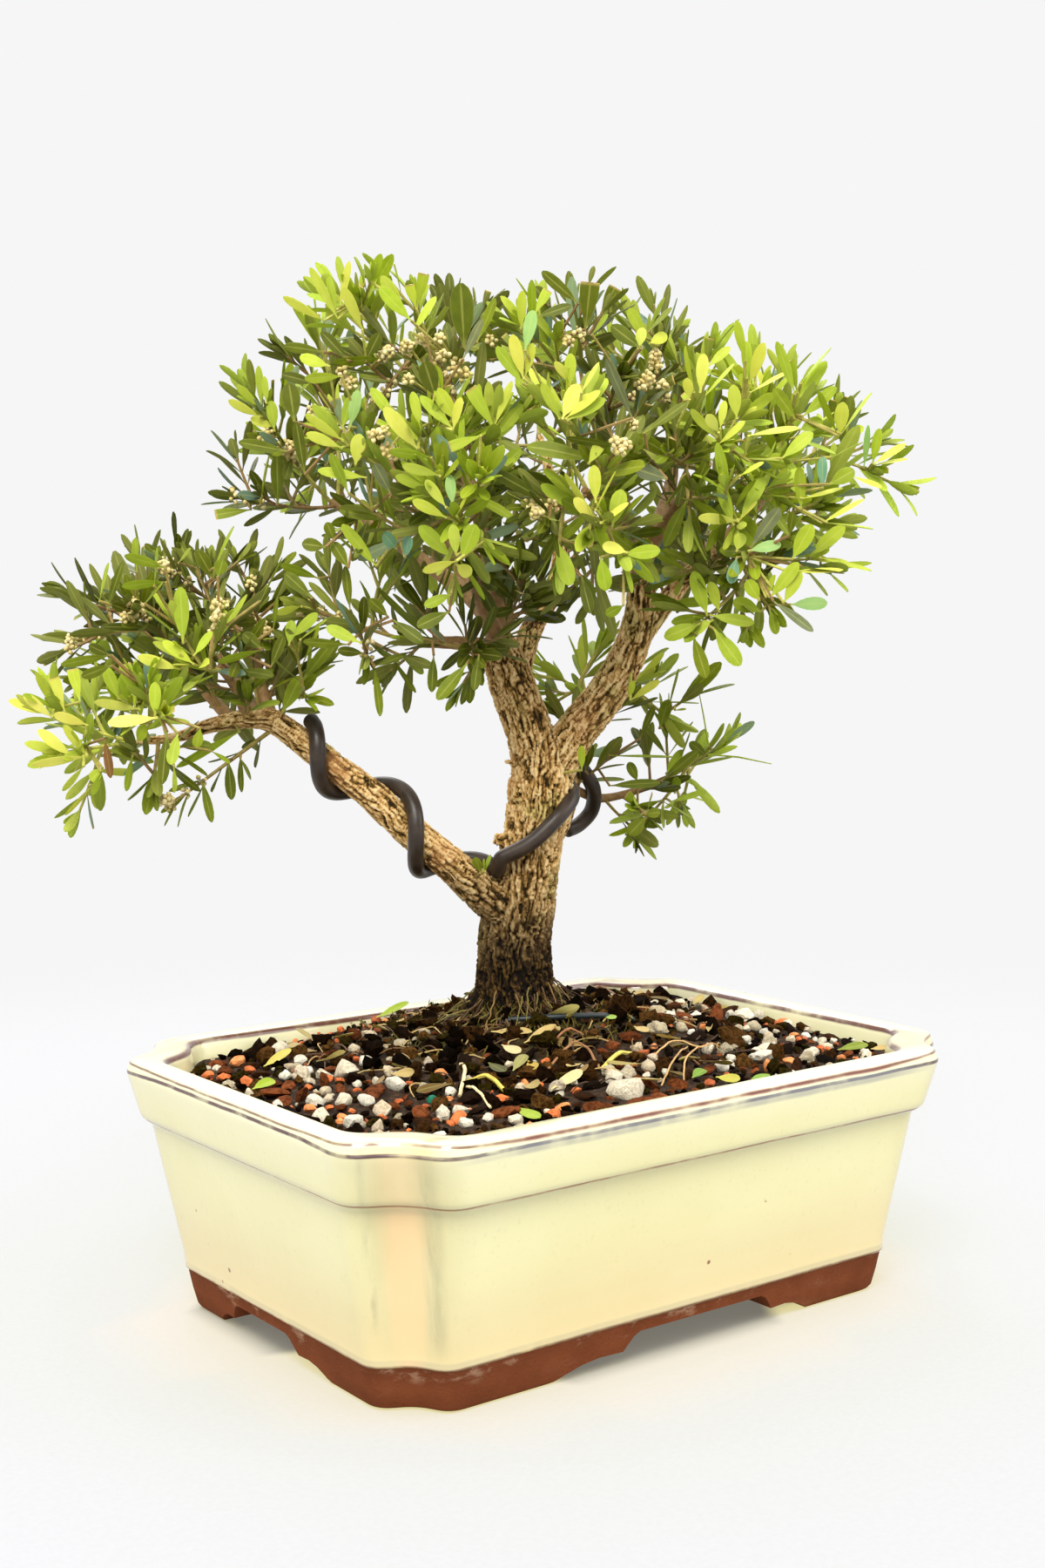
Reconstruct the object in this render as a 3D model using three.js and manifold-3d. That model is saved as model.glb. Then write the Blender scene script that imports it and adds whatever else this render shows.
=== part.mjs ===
// Taiwan boxwood bonsai in its glazed stoneware pot.
// Millimetres, +Z up, +X along the pot's long side. The group's origin is the middle of the ground it covers.
import * as THREE from 'three';
import { mergeVertices } from 'three/addons/utils/BufferGeometryUtils.js';
import Module from 'manifold-3d';

const wasm = await Module();
wasm.setup();

// Pot dimensions
const POT_HEIGHT = 71;
const RIM_HALF = [101.5, 76];
const RIM_NOTCH = 18.3;
const RIM_EDGE_ROUND = 0.8;
const BAND_PROUD = 0.8;
const BAND_WIDEST_Z = 67.8;
const BAND_FOOT_Z = 54.4;
const BAND_FOOT_ROUND = 2.6;
const BAND_FOOT_INSET = 2.9;
const BODY_TOP_Z = 53.4;
const BODY_TOP_HALF = [97.2, 70.6];
const BODY_TOP_NOTCH = 17;
const BASE_HALF = [86.9, 60.6];
const BASE_NOTCH = 12.9;
const BASE_ROUND = 1.4;
const NOTCH_DEPTH = 0.66;
const NOTCH_BEND = 0.3;
const CAVITY_TOP_HALF = [94.2, 68.8];
const CAVITY_TOP_NOTCH = 18.8;
const CAVITY_FLOOR_HALF = [82.5, 56.4];
const CAVITY_FLOOR_NOTCH = 12;
const LIP_ROUND = 1.2;
const FLOOR_UNDERSIDE_Z = 8.6;
const FLOOR_TOP_Z = 14;
const FOOT_THICKNESS = 11;
const ARCH_HEIGHT = 8.2;
const ARCH_LOBE = [[0, 0], [0.18, 1.7], [0.4, 3.1], [0.65, 3.8], [1, 3.5]];
const ARCH_RISE = [[0.25, 5.2], [0.6, 7.2], [1, ARCH_HEIGHT]];
const LONG_ARCH = [{ floor: -43, tip: -20, crown: -15 }, { floor: 47.5, tip: 32.5, crown: 28 }];
const SHORT_ARCH = [{ floor: -27, tip: -11.5, crown: -6.5 }, { floor: 32, tip: 23, crown: 19.5 }];
const DRAIN_RADIUS = 9;
const DRAIN_SIDES = 16;
const DRAIN_X = 45;
const SCREEN_SIDE = 27;
const SCREEN_THICKNESS = 1;
const SCREEN_HOLES = 2;
const SCREEN_BAR = 1.8;

// Soil dimensions
const SOIL_EDGE_Z = 65;
const SOIL_MOUND = 12.5;
const SOIL_MOUND_RADIUS = 52;
const SOIL_MOUND_CENTRE = [2, 28];
const SOIL_RELIEF = 1.1;
const SOIL_RINGS = 4;
const SOIL_SPAN = 21;
const SOIL_SEED = 41;
const LUMP_COUNT = 18;
const LUMP_RADIUS = [2.6, 4.6];

// Clearances and wires
const GAP = 0.32;
const CARVE = 0.35;
const WIRE_RADIUS = 2.35;
const WIRE_SIDES = 7;
const TIE_RADIUS = 0.9;
const TIE_SIDES = 6;

// Foliage dimensions
const LEAF_LENGTH = 17;
const LEAF_WIDTH = 6.4;
const LEAF_THICKNESS = 0.9;
const STEM_RADIUS = 0.8;
const BUD_RADIUS = 1.5;
const BUD_LENGTH = 3.4;
const FOLIAGE_SEED = 1000;

// The tree is drawn facing the viewer, +X right and +Y away, and stands turned in its pot.
const TURN = THREE.MathUtils.degToRad(-36.7);

function place(x, y, z) {
  return new THREE.Vector3(
    x * Math.cos(TURN) - y * Math.sin(TURN), x * Math.sin(TURN) + y * Math.cos(TURN), z);
}

// Wood: each limb is a list of points with their radius, from its root to its end
const LIMBS = {
  trunk: [[-7, 24, 42, 8.5], [-7, 24, 66, 9.5], [-7, 24, 74, 13.2], [-7, 24, 80, 12], [-7, 24, 88, 10.9],
    [-7, 24, 98, 10.4], [-5, 24, 109, 9.9], [-3, 24, 119, 8.9], [-1, 24, 131, 8.7], [1, 24, 143, 9.3],
    [2, 24, 152, 8]],
  left_limb: [[1, 24, 144, 7.2], [-2, 24, 159, 6.9], [-6, 25, 170, 6.7], [-9, 26, 179, 6.4],
    [-12, 26, 188, 4.6]],
  right_limb: [[4, 24, 147, 6.4], [12, 23, 160, 6], [21, 21, 171, 5.7], [27, 20, 182, 5.2],
    [30, 21, 191, 4.7], [31, 22, 200, 4.2], [31, 24, 208, 3.4], [34, 26, 215, 2.9], [38, 28, 221, 2.2]],
  right_fork: [[28, 21, 184, 3.8], [34, 24, 192, 3.4], [39, 26, 198, 3], [45, 28, 205, 2.5], [53, 26, 210, 2],
    [60, 22, 213, 1.5]],
  rear_limb: [[-6, 26, 174, 3.8], [-3, 32, 185, 3.5], [0, 38, 192, 3.2], [5, 44, 200, 2.9], [8, 54, 214, 2.3],
    [6, 66, 234, 1.8], [2, 74, 251, 1.3]],
  left_branch: [[-6, 24, 101, 6.4], [-12, 20, 108, 5.8], [-20, 16, 116, 5.3], [-28, 12, 124, 4.9],
    [-37, 9, 132, 4.7], [-47, 7, 142, 4.4], [-57, 6, 150, 4.1], [-67, 5, 158, 3.9], [-75, 4, 164, 3.5],
    [-82, 2, 165, 2.9], [-93, 0, 163, 2.1], [-102, -2, 160, 1.5], [-113, -4, 159, 1.1]],
  back_stem: [[3, 29, 124, 3.2], [9, 40, 134, 2.5], [12, 47, 145, 2], [15, 54, 155, 1.7], [21, 60, 164, 1.4],
    [25, 64, 171, 1.1]],
  back_twig: [[11, 45, 141, 1.5], [20, 55, 137, 1.4], [32, 60, 139, 1.2], [42, 62, 143, 0.9]],
  fringe_bough: [[-11, 26, 183, 2.8], [-15, 12, 185, 2.3], [-24, 4, 186, 1.9], [-33, 0, 186, 1.4]],
  left_bough: [[-11, 26, 186, 3], [-18, 34, 198, 2.6], [-33, 42, 210, 2.2], [-49, 46, 221, 1.7],
    [-62, 46, 229, 1.2]],
  front_left_bough: [[-11, 26, 186, 2.8], [-16, 10, 200, 2.4], [-19, -4, 215, 1.9], [-24, -12, 226, 1.3]],
  top_left_bough: [[-11, 26, 187, 3.2], [-13, 24, 208, 2.7], [-18, 24, 229, 2.1], [-26, 28, 249, 1.6],
    [-35, 30, 263, 1.1]],
  front_right_bough: [[34, 26, 214, 2.2], [43, 14, 227, 1.8], [49, 4, 236, 1.2]],
  front_bough: [[31, 23, 205, 2.6], [26, 4, 215, 2.1], [20, -12, 221, 1.6], [13, -20, 227, 1.1]],
  top_right_bough: [[35, 27, 218, 2.4], [41, 40, 232, 2], [42, 50, 248, 1.5], [38, 54, 262, 1.1]],
  right_bough: [[45, 28, 204, 2.2], [62, 40, 221, 1.8], [72, 46, 232, 1.5], [77, 46, 240, 1.1]],
  rear_left_bough: [[-17, 33, 196, 2.3], [-26, 52, 214, 1.9], [-40, 68, 234, 1.5], [-50, 75, 250, 1.1]],
  rear_right_bough: [[39, 26, 198, 2.4], [48, 44, 207, 1.9], [56, 60, 218, 1.5], [62, 70, 230, 1.1]],
  top_bough: [[31, 24, 207, 2.8], [26, 26, 226, 2.2], [20, 26, 244, 1.6], [15, 30, 259, 1.1]],
  pad_front: [[-82, 2, 165, 1.9], [-85, -2, 174, 1.4], [-89, -6, 180, 1]],
  pad_middle: [[-75, 4, 163, 2.2], [-79, 10, 173, 1.8], [-82, 16, 183, 1.4], [-88, 18, 192, 1]],
  pad_left: [[-86, 1, 164, 1.9], [-96, 12, 173, 1.6], [-104, 18, 182, 1.2], [-110, 20, 187, 0.9]],
  pad_back: [[-78, 4, 164, 2.1], [-87, 26, 173, 1.6], [-95, 40, 182, 1.1]],
};

// Buttress roots: direction in degrees round the trunk's foot and reach
const ROOTS = [{ turn: 195, reach: 20 }, { turn: 265, reach: 8 }, { turn: 345, reach: 16 },
  { turn: 60, reach: 17 }, { turn: 130, reach: 18 }];

// Sprays: the limb each springs from, then the end of each shoot, with buds where it flowers
const SPRAYS = {
  crown_01: ['top_left_bough', [-57, 28, 284], [-49, 12, 282]],
  crown_02: ['left_bough', [-66, 50, 281], [-68, 40, 267]],
  crown_03: ['top_left_bough', [-34, 25, 284], [-43, 5, 255, 'buds']],
  crown_04: ['top_left_bough', [-21, 30, 276], [-15, 55, 281]],
  crown_05: ['top_bough', [-2, 0, 274], [-9, 15, 267, 'buds']],
  crown_06: ['left_bough', [-80, 32, 254], [-73, 26, 243, 'buds']],
  crown_07: ['left_bough', [-86, 30, 229, 'buds'], [-75, 44, 233]],
  crown_08: ['front_left_bough', [-52, -14, 241], [-43, -8, 219]],
  crown_09: ['front_left_bough', [-30, -34, 239], [-21, -26, 242]],
  crown_10: ['front_left_bough', [-11, -24, 244], [-26, -8, 261, 'buds']],
  crown_11: ['front_left_bough', [-14, -38, 229], [-26, -30, 226]],
  crown_12: ['front_left_bough', [-20, -34, 218], [-37, -18, 214], [-22, -22, 206]],
  crown_13: ['fringe_bough', [-62, 0, 196, 'buds'], [-43, -3, 205], [-47, -8, 184, 'buds']],
  crown_14: ['fringe_bough', [-18, -12, 183], [-31, -10, 187]],
  crown_15: ['front_bough', [2, -22, 245], [9, -32, 247]],
  crown_16: ['front_bough', [14, -32, 216], [22, -34, 210], [16, 0, 199]],
  crown_17: ['front_bough', [0, -34, 222, 'buds'], [6, -28, 210]],
  crown_18: ['front_bough', [17, -38, 231], [26, -8, 243, 'buds']],
  crown_19: ['top_bough', [13, 45, 285], [14, 28, 275, 'buds']],
  crown_20: ['top_bough', [23, 0, 258], [34, 5, 257, 'buds']],
  crown_21: ['top_right_bough', [33, 52, 279], [42, 60, 278]],
  crown_22: ['front_right_bough', [47, 12, 261], [50, -18, 239]],
  crown_23: ['front_right_bough', [57, -12, 230], [54, -20, 217]],
  crown_24: ['front_right_bough', [36, -25, 236], [42, -18, 218]],
  crown_25: ['right_bough', [62, 18, 259], [67, -8, 235]],
  crown_26: ['right_bough', [70, 32, 257], [79, 42, 257]],
  crown_27: ['right_bough', [93, 52, 248], [97, 28, 236]],
  crown_28: ['right_bough', [81, 10, 225], [88, 32, 221]],
  crown_29: ['right_fork', [76, 4, 209], [60, -12, 212]],
  crown_30: ['right_fork', [65, 4, 197], [47, -6, 192]],
  crown_31: ['right_fork', [55, 5, 205], [40, -8, 205]],
  crown_32: ['left_limb', [-4, -8, 203], [1, 2, 196]],
  rear_01: ['rear_limb', [-18, 98, 254], [8, 98, 225], [-4, 85, 213]],
  rear_02: ['rear_limb', [3, 92, 281], [23, 95, 267]],
  rear_03: ['rear_left_bough', [-57, 85, 267], [-71, 80, 236], [-37, 85, 278]],
  rear_04: ['rear_left_bough', [-38, 88, 214], [-52, 98, 245]],
  rear_05: ['top_right_bough', [45, 85, 269], [25, 80, 279]],
  rear_06: ['rear_right_bough', [64, 85, 252], [85, 75, 223]],
  rear_07: ['rear_right_bough', [47, 82, 213], [67, 76, 216]],
  pad_01: ['left_branch', [-135, -10, 167], [-131, 6, 167]],
  pad_02: ['left_branch', [-129, -16, 157], [-126, 2, 149]],
  pad_03: ['left_branch', [-110, -22, 169], [-102, -27, 167]],
  pad_04: ['pad_front', [-93, -22, 181], [-89, -6, 195, 'buds']],
  pad_05: ['pad_left', [-112, -2, 196, 'buds'], [-132, 18, 188, 'buds']],
  pad_06: ['pad_left', [-126, 26, 197], [-115, 32, 205]],
  pad_07: ['pad_middle', [-104, 10, 207, 'buds'], [-94, 20, 206]],
  pad_08: ['pad_middle', [-84, 25, 202, 'buds'], [-77, 2, 189, 'buds']],
  pad_09: ['left_branch', [-72, 14, 180], [-66, 0, 171]],
  pad_10: ['left_branch', [-102, -8, 142, 'buds'], [-107, -10, 150]],
  pad_11: ['pad_back', [-115, 55, 186], [-96, 58, 191], [-129, 45, 170], [-129, 30, 178]],
};

// Sprays behind the trunk
const BACK_SPRAYS = {
  back_01: ['back_stem', [4, 66, 177], [7, 62, 167], [20, 66, 183]],
  back_02: ['back_stem', [31, 62, 173], [41, 62, 162]],
  back_03: ['back_twig', [54, 60, 150], [34, 58, 130], [47, 70, 136]],
};

function seededRandom(seed) {
  let state = seed >>> 0;
  return function next() {
    state = (state + 0x6d2b79f5) >>> 0;
    let t = state;
    t = Math.imul(t ^ (t >>> 15), t | 1);
    t ^= t + Math.imul(t ^ (t >>> 7), t | 61);
    return ((t ^ (t >>> 14)) >>> 0) / 4294967296;
  };
}

// Solids
function toSolid(geometry) {
  const bare = new THREE.BufferGeometry();
  bare.setAttribute('position', geometry.attributes.position.clone());
  if (geometry.index) bare.setIndex(geometry.index);
  const merged = mergeVertices(bare, 1e-4);
  return new wasm.Manifold(new wasm.Mesh({
    numProp: 3,
    vertProperties: new Float32Array(merged.attributes.position.array),
    triVerts: new Uint32Array(merged.index.array),
  }));
}

function toGeometry(solid) {
  const mesh = solid.getMesh();
  const geometry = new THREE.BufferGeometry();
  geometry.setAttribute('position', new THREE.BufferAttribute(new Float32Array(mesh.vertProperties), 3));
  geometry.setIndex(new THREE.BufferAttribute(new Uint32Array(mesh.triVerts), 1));
  geometry.computeVertexNormals();
  return geometry;
}

function largestBody(solid) {
  const bodies = solid.decompose();
  return bodies.reduce((best, body) => (body.volume() > best.volume() ? body : best));
}

function fromTriangles(points, triangles) {
  const geometry = new THREE.BufferGeometry();
  geometry.setAttribute('position', new THREE.BufferAttribute(
    new Float32Array(points.flatMap((point) => point.toArray())), 3));
  geometry.setIndex(triangles.flat());
  return toSolid(geometry);
}

// A closed skin over rings with the same number of points, each ring counter-clockwise seen from the end
function loft(rings) {
  const count = rings[0].length;
  const points = rings.flat();
  const triangles = [];
  for (let ring = 0; ring + 1 < rings.length; ring += 1) {
    for (let k = 0; k < count; k += 1) {
      const a = ring * count + k;
      const b = ring * count + (k + 1) % count;
      triangles.push([a, b, b + count], [a, b + count, a + count]);
    }
  }
  const last = (rings.length - 1) * count;
  const centres = [rings[0], rings[rings.length - 1]].map((ring) => ring
    .reduce((sum, point) => sum.add(point), new THREE.Vector3()).divideScalar(count));
  points.push(...centres);
  for (let k = 0; k < count; k += 1) {
    const next = (k + 1) % count;
    triangles.push([points.length - 2, next, k], [points.length - 1, last + k, last + next]);
  }
  return fromTriangles(points, triangles);
}

// Smooth path through hand-set points, each x, y, z and radius
function smoothPath(points, steps) {
  const path = [];
  for (let i = 0; i + 1 < points.length; i += 1) {
    const after = points[Math.min(i + 2, points.length - 1)];
    const knots = [points[Math.max(i - 1, 0)], points[i], points[i + 1], after];
    const stop = i + 2 === points.length ? steps : steps - 1;
    for (let step = 0; step <= stop; step += 1) {
      const t = step / steps;
      const mix = [0, 1, 2, 3].map((axis) => {
        const [a, b, c, d] = knots.map((knot) => knot[axis]);
        return 0.5 * (2 * b + (c - a) * t + (2 * a - 5 * b + 4 * c - d) * t * t
          + (3 * b - a - 3 * c + d) * t * t * t);
      });
      path.push({ point: place(mix[0], mix[1], mix[2]), radius: mix[3] });
    }
  }
  return path;
}

// Tangent and two cross directions at each point of a path, turned as little as possible from one to the next
function framesAlong(points) {
  const frames = [];
  let side = null;
  points.forEach((point, i) => {
    const ahead = points[Math.min(i + 1, points.length - 1)];
    const behind = points[Math.max(i - 1, 0)];
    const along = ahead.clone().sub(behind).normalize();
    if (!side) side = new THREE.Vector3(Math.abs(along.x) < 0.8 ? 1 : 0, Math.abs(along.x) < 0.8 ? 0 : 1, 0);
    side = side.clone().addScaledVector(along, -side.dot(along)).normalize();
    frames.push({ point, along, side, up: along.clone().cross(side) });
  });
  return frames;
}

function tube(path, sides, relief = () => 1) {
  const rings = framesAlong(path.map((spot) => spot.point)).map((frame, i) => {
    const ring = [];
    for (let k = 0; k < sides; k += 1) {
      const angle = (k / sides) * 2 * Math.PI;
      const reach = path[i].radius * relief(angle, i);
      ring.push(frame.point.clone()
        .addScaledVector(frame.side, reach * Math.cos(angle))
        .addScaledVector(frame.up, reach * Math.sin(angle)));
    }
    return ring;
  });
  return loft(rings);
}

// Pot. Its outline has a notch scooped into each corner, with blunted bends.
function potOutline([halfX, halfY], notch) {
  const inner = notch * NOTCH_DEPTH;
  const corners = [[1, 1], [-1, 1], [-1, -1], [1, -1]].flatMap(([sx, sy]) => {
    const bends = [
      [sx * halfX, sy * (halfY - notch)],
      [sx * (halfX - inner), sy * (halfY - inner)],
      [sx * (halfX - notch), sy * halfY],
    ];
    return sx === sy ? bends : bends.reverse();
  });
  const cut = notch * NOTCH_BEND;
  return corners.flatMap((corner, i) => {
    const vertex = new THREE.Vector2(...corner);
    return [-1, 1].map((step) => {
      const other = new THREE.Vector2(...corners[(i + corners.length + step) % corners.length]);
      return vertex.clone().add(other.sub(vertex).normalize().multiplyScalar(cut));
    });
  });
}

function potLoft(levels) {
  return loft(levels.map(([z, half, notch]) => potOutline(half, notch)
    .map((point) => new THREE.Vector3(point.x, point.y, z))));
}

function grown([x, y], by) {
  return [x + by, y + by];
}

// Arch between two feet: from the floor over a low lobe to a tip, then up to the crown
function archOutline([low, high]) {
  const end = ({ floor, tip, crown }) => [
    [floor, -1],
    ...ARCH_LOBE.map(([part, z]) => [floor + (tip - floor) * part, z]),
    ...ARCH_RISE.map(([part, z]) => [tip + (crown - tip) * part, z]),
  ];
  return new THREE.Shape([...end(low), ...end(high).reverse()].map(([x, z]) => new THREE.Vector2(x, z)));
}

function archSolid(ends, reach) {
  const geometry = new THREE.ExtrudeGeometry(archOutline(ends), { depth: 2 * reach, bevelEnabled: false });
  geometry.rotateX(Math.PI / 2);
  geometry.translate(0, reach, 0);
  return geometry;
}

function drainHole(x) {
  const geometry = new THREE.CylinderGeometry(DRAIN_RADIUS, DRAIN_RADIUS, 2 * FLOOR_TOP_Z, DRAIN_SIDES);
  geometry.rotateX(Math.PI / 2);
  geometry.translate(x, 0, FLOOR_TOP_Z);
  return toSolid(geometry);
}

function makePot() {
  const outside = potLoft([
    [0, grown(BASE_HALF, -BASE_ROUND), BASE_NOTCH],
    [BASE_ROUND, BASE_HALF, BASE_NOTCH],
    [BODY_TOP_Z, BODY_TOP_HALF, BODY_TOP_NOTCH],
    [BAND_FOOT_Z, grown(RIM_HALF, -BAND_FOOT_INSET), RIM_NOTCH],
    [BAND_FOOT_Z + BAND_FOOT_ROUND, grown(RIM_HALF, -BAND_FOOT_INSET / 2), RIM_NOTCH],
    [BAND_WIDEST_Z, grown(RIM_HALF, BAND_PROUD), RIM_NOTCH],
    [POT_HEIGHT - RIM_EDGE_ROUND, grown(RIM_HALF, RIM_EDGE_ROUND / 3), RIM_NOTCH],
    [POT_HEIGHT, grown(RIM_HALF, -RIM_EDGE_ROUND), RIM_NOTCH],
  ]);
  const cavity = potLoft([
    [FLOOR_TOP_Z, CAVITY_FLOOR_HALF, CAVITY_FLOOR_NOTCH],
    [POT_HEIGHT - LIP_ROUND, CAVITY_TOP_HALF, CAVITY_TOP_NOTCH],
    [POT_HEIGHT + LIP_ROUND, grown(CAVITY_TOP_HALF, 1.6 * LIP_ROUND), CAVITY_TOP_NOTCH],
  ]);
  const under = potLoft([
    [-1, grown(BASE_HALF, -FOOT_THICKNESS), BASE_NOTCH],
    [FLOOR_UNDERSIDE_Z, grown(BASE_HALF, -FOOT_THICKNESS), BASE_NOTCH],
  ]);
  const longArch = toSolid(archSolid(LONG_ARCH, RIM_HALF[1]));
  const shortArch = toSolid(archSolid(SHORT_ARCH, RIM_HALF[0]).rotateZ(Math.PI / 2));
  return outside.subtract(cavity).subtract(under).subtract(longArch).subtract(shortArch)
    .subtract(drainHole(DRAIN_X)).subtract(drainHole(-DRAIN_X));
}

function makeScreen(x) {
  const pitch = (SCREEN_SIDE - SCREEN_BAR) / SCREEN_HOLES;
  const side = pitch - SCREEN_BAR;
  const plate = new THREE.BoxGeometry(SCREEN_SIDE, SCREEN_SIDE, SCREEN_THICKNESS);
  plate.translate(x, 0, FLOOR_TOP_Z + GAP + SCREEN_THICKNESS / 2);
  let screen = toSolid(plate);
  for (let row = 0; row < SCREEN_HOLES; row += 1) {
    for (let column = 0; column < SCREEN_HOLES; column += 1) {
      const hole = new THREE.BoxGeometry(side, side, 4 * SCREEN_THICKNESS);
      hole.translate(
        x + (column - (SCREEN_HOLES - 1) / 2) * pitch, (row - (SCREEN_HOLES - 1) / 2) * pitch, FLOOR_TOP_Z);
      screen = screen.subtract(toSolid(hole));
    }
  }
  return screen;
}

// Wood
function barkRelief(depth, sides) {
  return (angle, i) => {
    const flute = Math.sin(3 * angle + 0.5 * i) + 0.7 * Math.sin(5 * angle - 0.9 * i);
    const ridge = Math.round((angle * sides) / (2 * Math.PI)) % 2 === 0 ? 1 : -1;
    return 1 + depth * (0.35 * flute + 0.5 * ridge);
  };
}

const LIMB_SIDES = { trunk: 16, left_limb: 10, right_limb: 10, left_branch: 8 };
const TWIG_SIDES = 5;
const ROOT_SIDES = 5;
const BARK_RELIEF = 0.06;

function limbPath(name, steps) {
  return smoothPath(LIMBS[name], steps);
}

function rootPath({ turn, reach }, extra) {
  const angle = THREE.MathUtils.degToRad(turn);
  const [x, y] = LIMBS.trunk[0];
  const spots = [[4, 84, 4.2], [(4 + reach) / 2, 78, 3.6], [reach, 73, 2], [reach + 6, 68, 1]];
  return smoothPath(spots.map(([out, z, radius]) => [
    x + out * Math.cos(angle), y + out * Math.sin(angle), z, radius + extra]), 1);
}

// The foot of the tree, swollen by the given amount
function makeFoot(extra) {
  const trunk = limbPath('trunk', 1).slice(0, 5)
    .map(({ point, radius }) => ({ point, radius: radius * (1 + BARK_RELIEF) + extra }));
  const peg = { ...trunk[0], point: trunk[0].point.clone().setZ(trunk[0].point.z - extra) };
  return ROOTS.map((root) => tube(rootPath(root, extra), ROOT_SIDES))
    .reduce((sum, root) => sum.add(root), tube([peg, ...trunk], LIMB_SIDES.trunk));
}

function makeTrunk(wire) {
  const limbs = Object.keys(LIMBS).map((name) => {
    const sides = LIMB_SIDES[name] ?? TWIG_SIDES;
    return tube(limbPath(name, 1), sides, barkRelief(name in LIMB_SIDES ? BARK_RELIEF : 0, sides));
  });
  const roots = ROOTS.map((root) => tube(rootPath(root, 0), ROOT_SIDES));
  return largestBody([...limbs, ...roots].reduce((sum, piece) => sum.add(piece)).subtract(wire));
}

// Training wire: two turns round the left branch, then over the trunk's front and once round the back stem
const WIRE_TURNS = 2;
const WIRE_TURN_STEPS = 10;
const WIRE_BITE = 0.1;
const WIRE_EASE = 0.08;
const WIRE_ON_BRANCH = [[-68.5, 5, 159], [-18, 17, 114]];
const WIRE_OVER_TRUNK = [[-10, 12.4, 123.6], [-2, 11.8, 127.8], [5, 13.4, 134], [9.2, 17.6, 138.6],
  [10.4, 23, 141], [9.4, 30, 143], [6.6, 36, 145.6], [5.8, 40, 148.6], [8.6, 42.6, 150], [13, 44, 148],
  [17.4, 47, 141], [17.2, 50.6, 134], [13.4, 51, 129.4], [9.4, 48, 127.8]];

function nearestOn(path, target) {
  let best = null;
  for (let i = 0; i + 1 < path.length; i += 1) {
    const span = path[i + 1].point.clone().sub(path[i].point);
    const part = THREE.MathUtils.clamp(
      target.clone().sub(path[i].point).dot(span) / span.lengthSq(), 0, 1);
    const point = path[i].point.clone().addScaledVector(span, part);
    const distance = point.distanceTo(target);
    if (!best || distance < best.distance) {
      const radius = THREE.MathUtils.lerp(path[i].radius, path[i + 1].radius, part);
      best = { point, radius, distance, along: span.normalize(), length: i + part };
    }
  }
  return best;
}

function trainingWirePath() {
  const branch = limbPath('left_branch', 2);
  const [start, end] = WIRE_ON_BRANCH.map((spot) => place(...spot));
  const first = nearestOn(branch, start).length;
  const last = nearestOn(branch, end).length;
  const path = [];
  const count = WIRE_TURNS * WIRE_TURN_STEPS;
  for (let i = 0; i <= count; i += 1) {
    const part = i / count;
    const at = first + (last - first) * ((1 - WIRE_EASE) * part + WIRE_EASE * part * part);
    const index = Math.min(Math.floor(at), branch.length - 2);
    const blend = at - index;
    const centre = branch[index].point.clone().lerp(branch[index + 1].point, blend);
    const radius = THREE.MathUtils.lerp(branch[index].radius, branch[index + 1].radius, blend);
    const along = branch[index].point.clone().sub(branch[index + 1].point).normalize();
    const front = place(0, -1, 0);
    front.addScaledVector(along, -front.dot(along)).normalize();
    const up = front.clone().cross(along);
    const angle = Math.PI / 2 - part * WIRE_TURNS * 2 * Math.PI;
    const reach = radius + WIRE_RADIUS + WIRE_BITE;
    centre.addScaledVector(front, reach * Math.cos(angle)).addScaledVector(up, reach * Math.sin(angle));
    path.push({ point: centre, radius: WIRE_RADIUS });
  }
  const over = smoothPath(WIRE_OVER_TRUNK.map((spot) => [...spot, WIRE_RADIUS]), 1);
  return [...path, ...over];
}

// Tie-down wire: over the soil in front of the trunk, both ends pushed into the root ball
const TIE_ROUTE = [[-13, 8, -13], [-12, 8, -3], [-9, 7.4, 1.1], [-3, 6.6, 1.7], [5, 6.8, 2], [13, 9, 1.9],
  [21, 13, 1.4], [27, 17, 0.4], [29, 18, -3], [30, 18.6, -13]];

function soilHeight(x, y) {
  const [centreX, centreY] = SOIL_MOUND_CENTRE;
  const spread = ((x - centreX) ** 2 + (y - centreY) ** 2) / SOIL_MOUND_RADIUS ** 2;
  return SOIL_EDGE_Z + SOIL_MOUND * Math.exp(-spread);
}

function tiePath(extra) {
  return smoothPath(TIE_ROUTE.map(([x, y, over]) => [
    x, y, soilHeight(x, y) + over, TIE_RADIUS + extra]), 2);
}

// Soil: a mound round the trunk's foot with lumps of gravel set in it
const GOLDEN_ANGLE = Math.PI * (3 - Math.sqrt(5));
const LUMP_PROUD = 0.3;

function divided(outline, span) {
  return outline.flatMap((point, i) => {
    const next = outline[(i + 1) % outline.length];
    const count = Math.ceil(point.distanceTo(next) / span);
    return Array.from({ length: count }, (_, k) => point.clone().lerp(next, k / count));
  });
}

function inTreeFrame(point) {
  return [
    point.x * Math.cos(TURN) + point.y * Math.sin(TURN), point.y * Math.cos(TURN) - point.x * Math.sin(TURN)];
}

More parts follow.
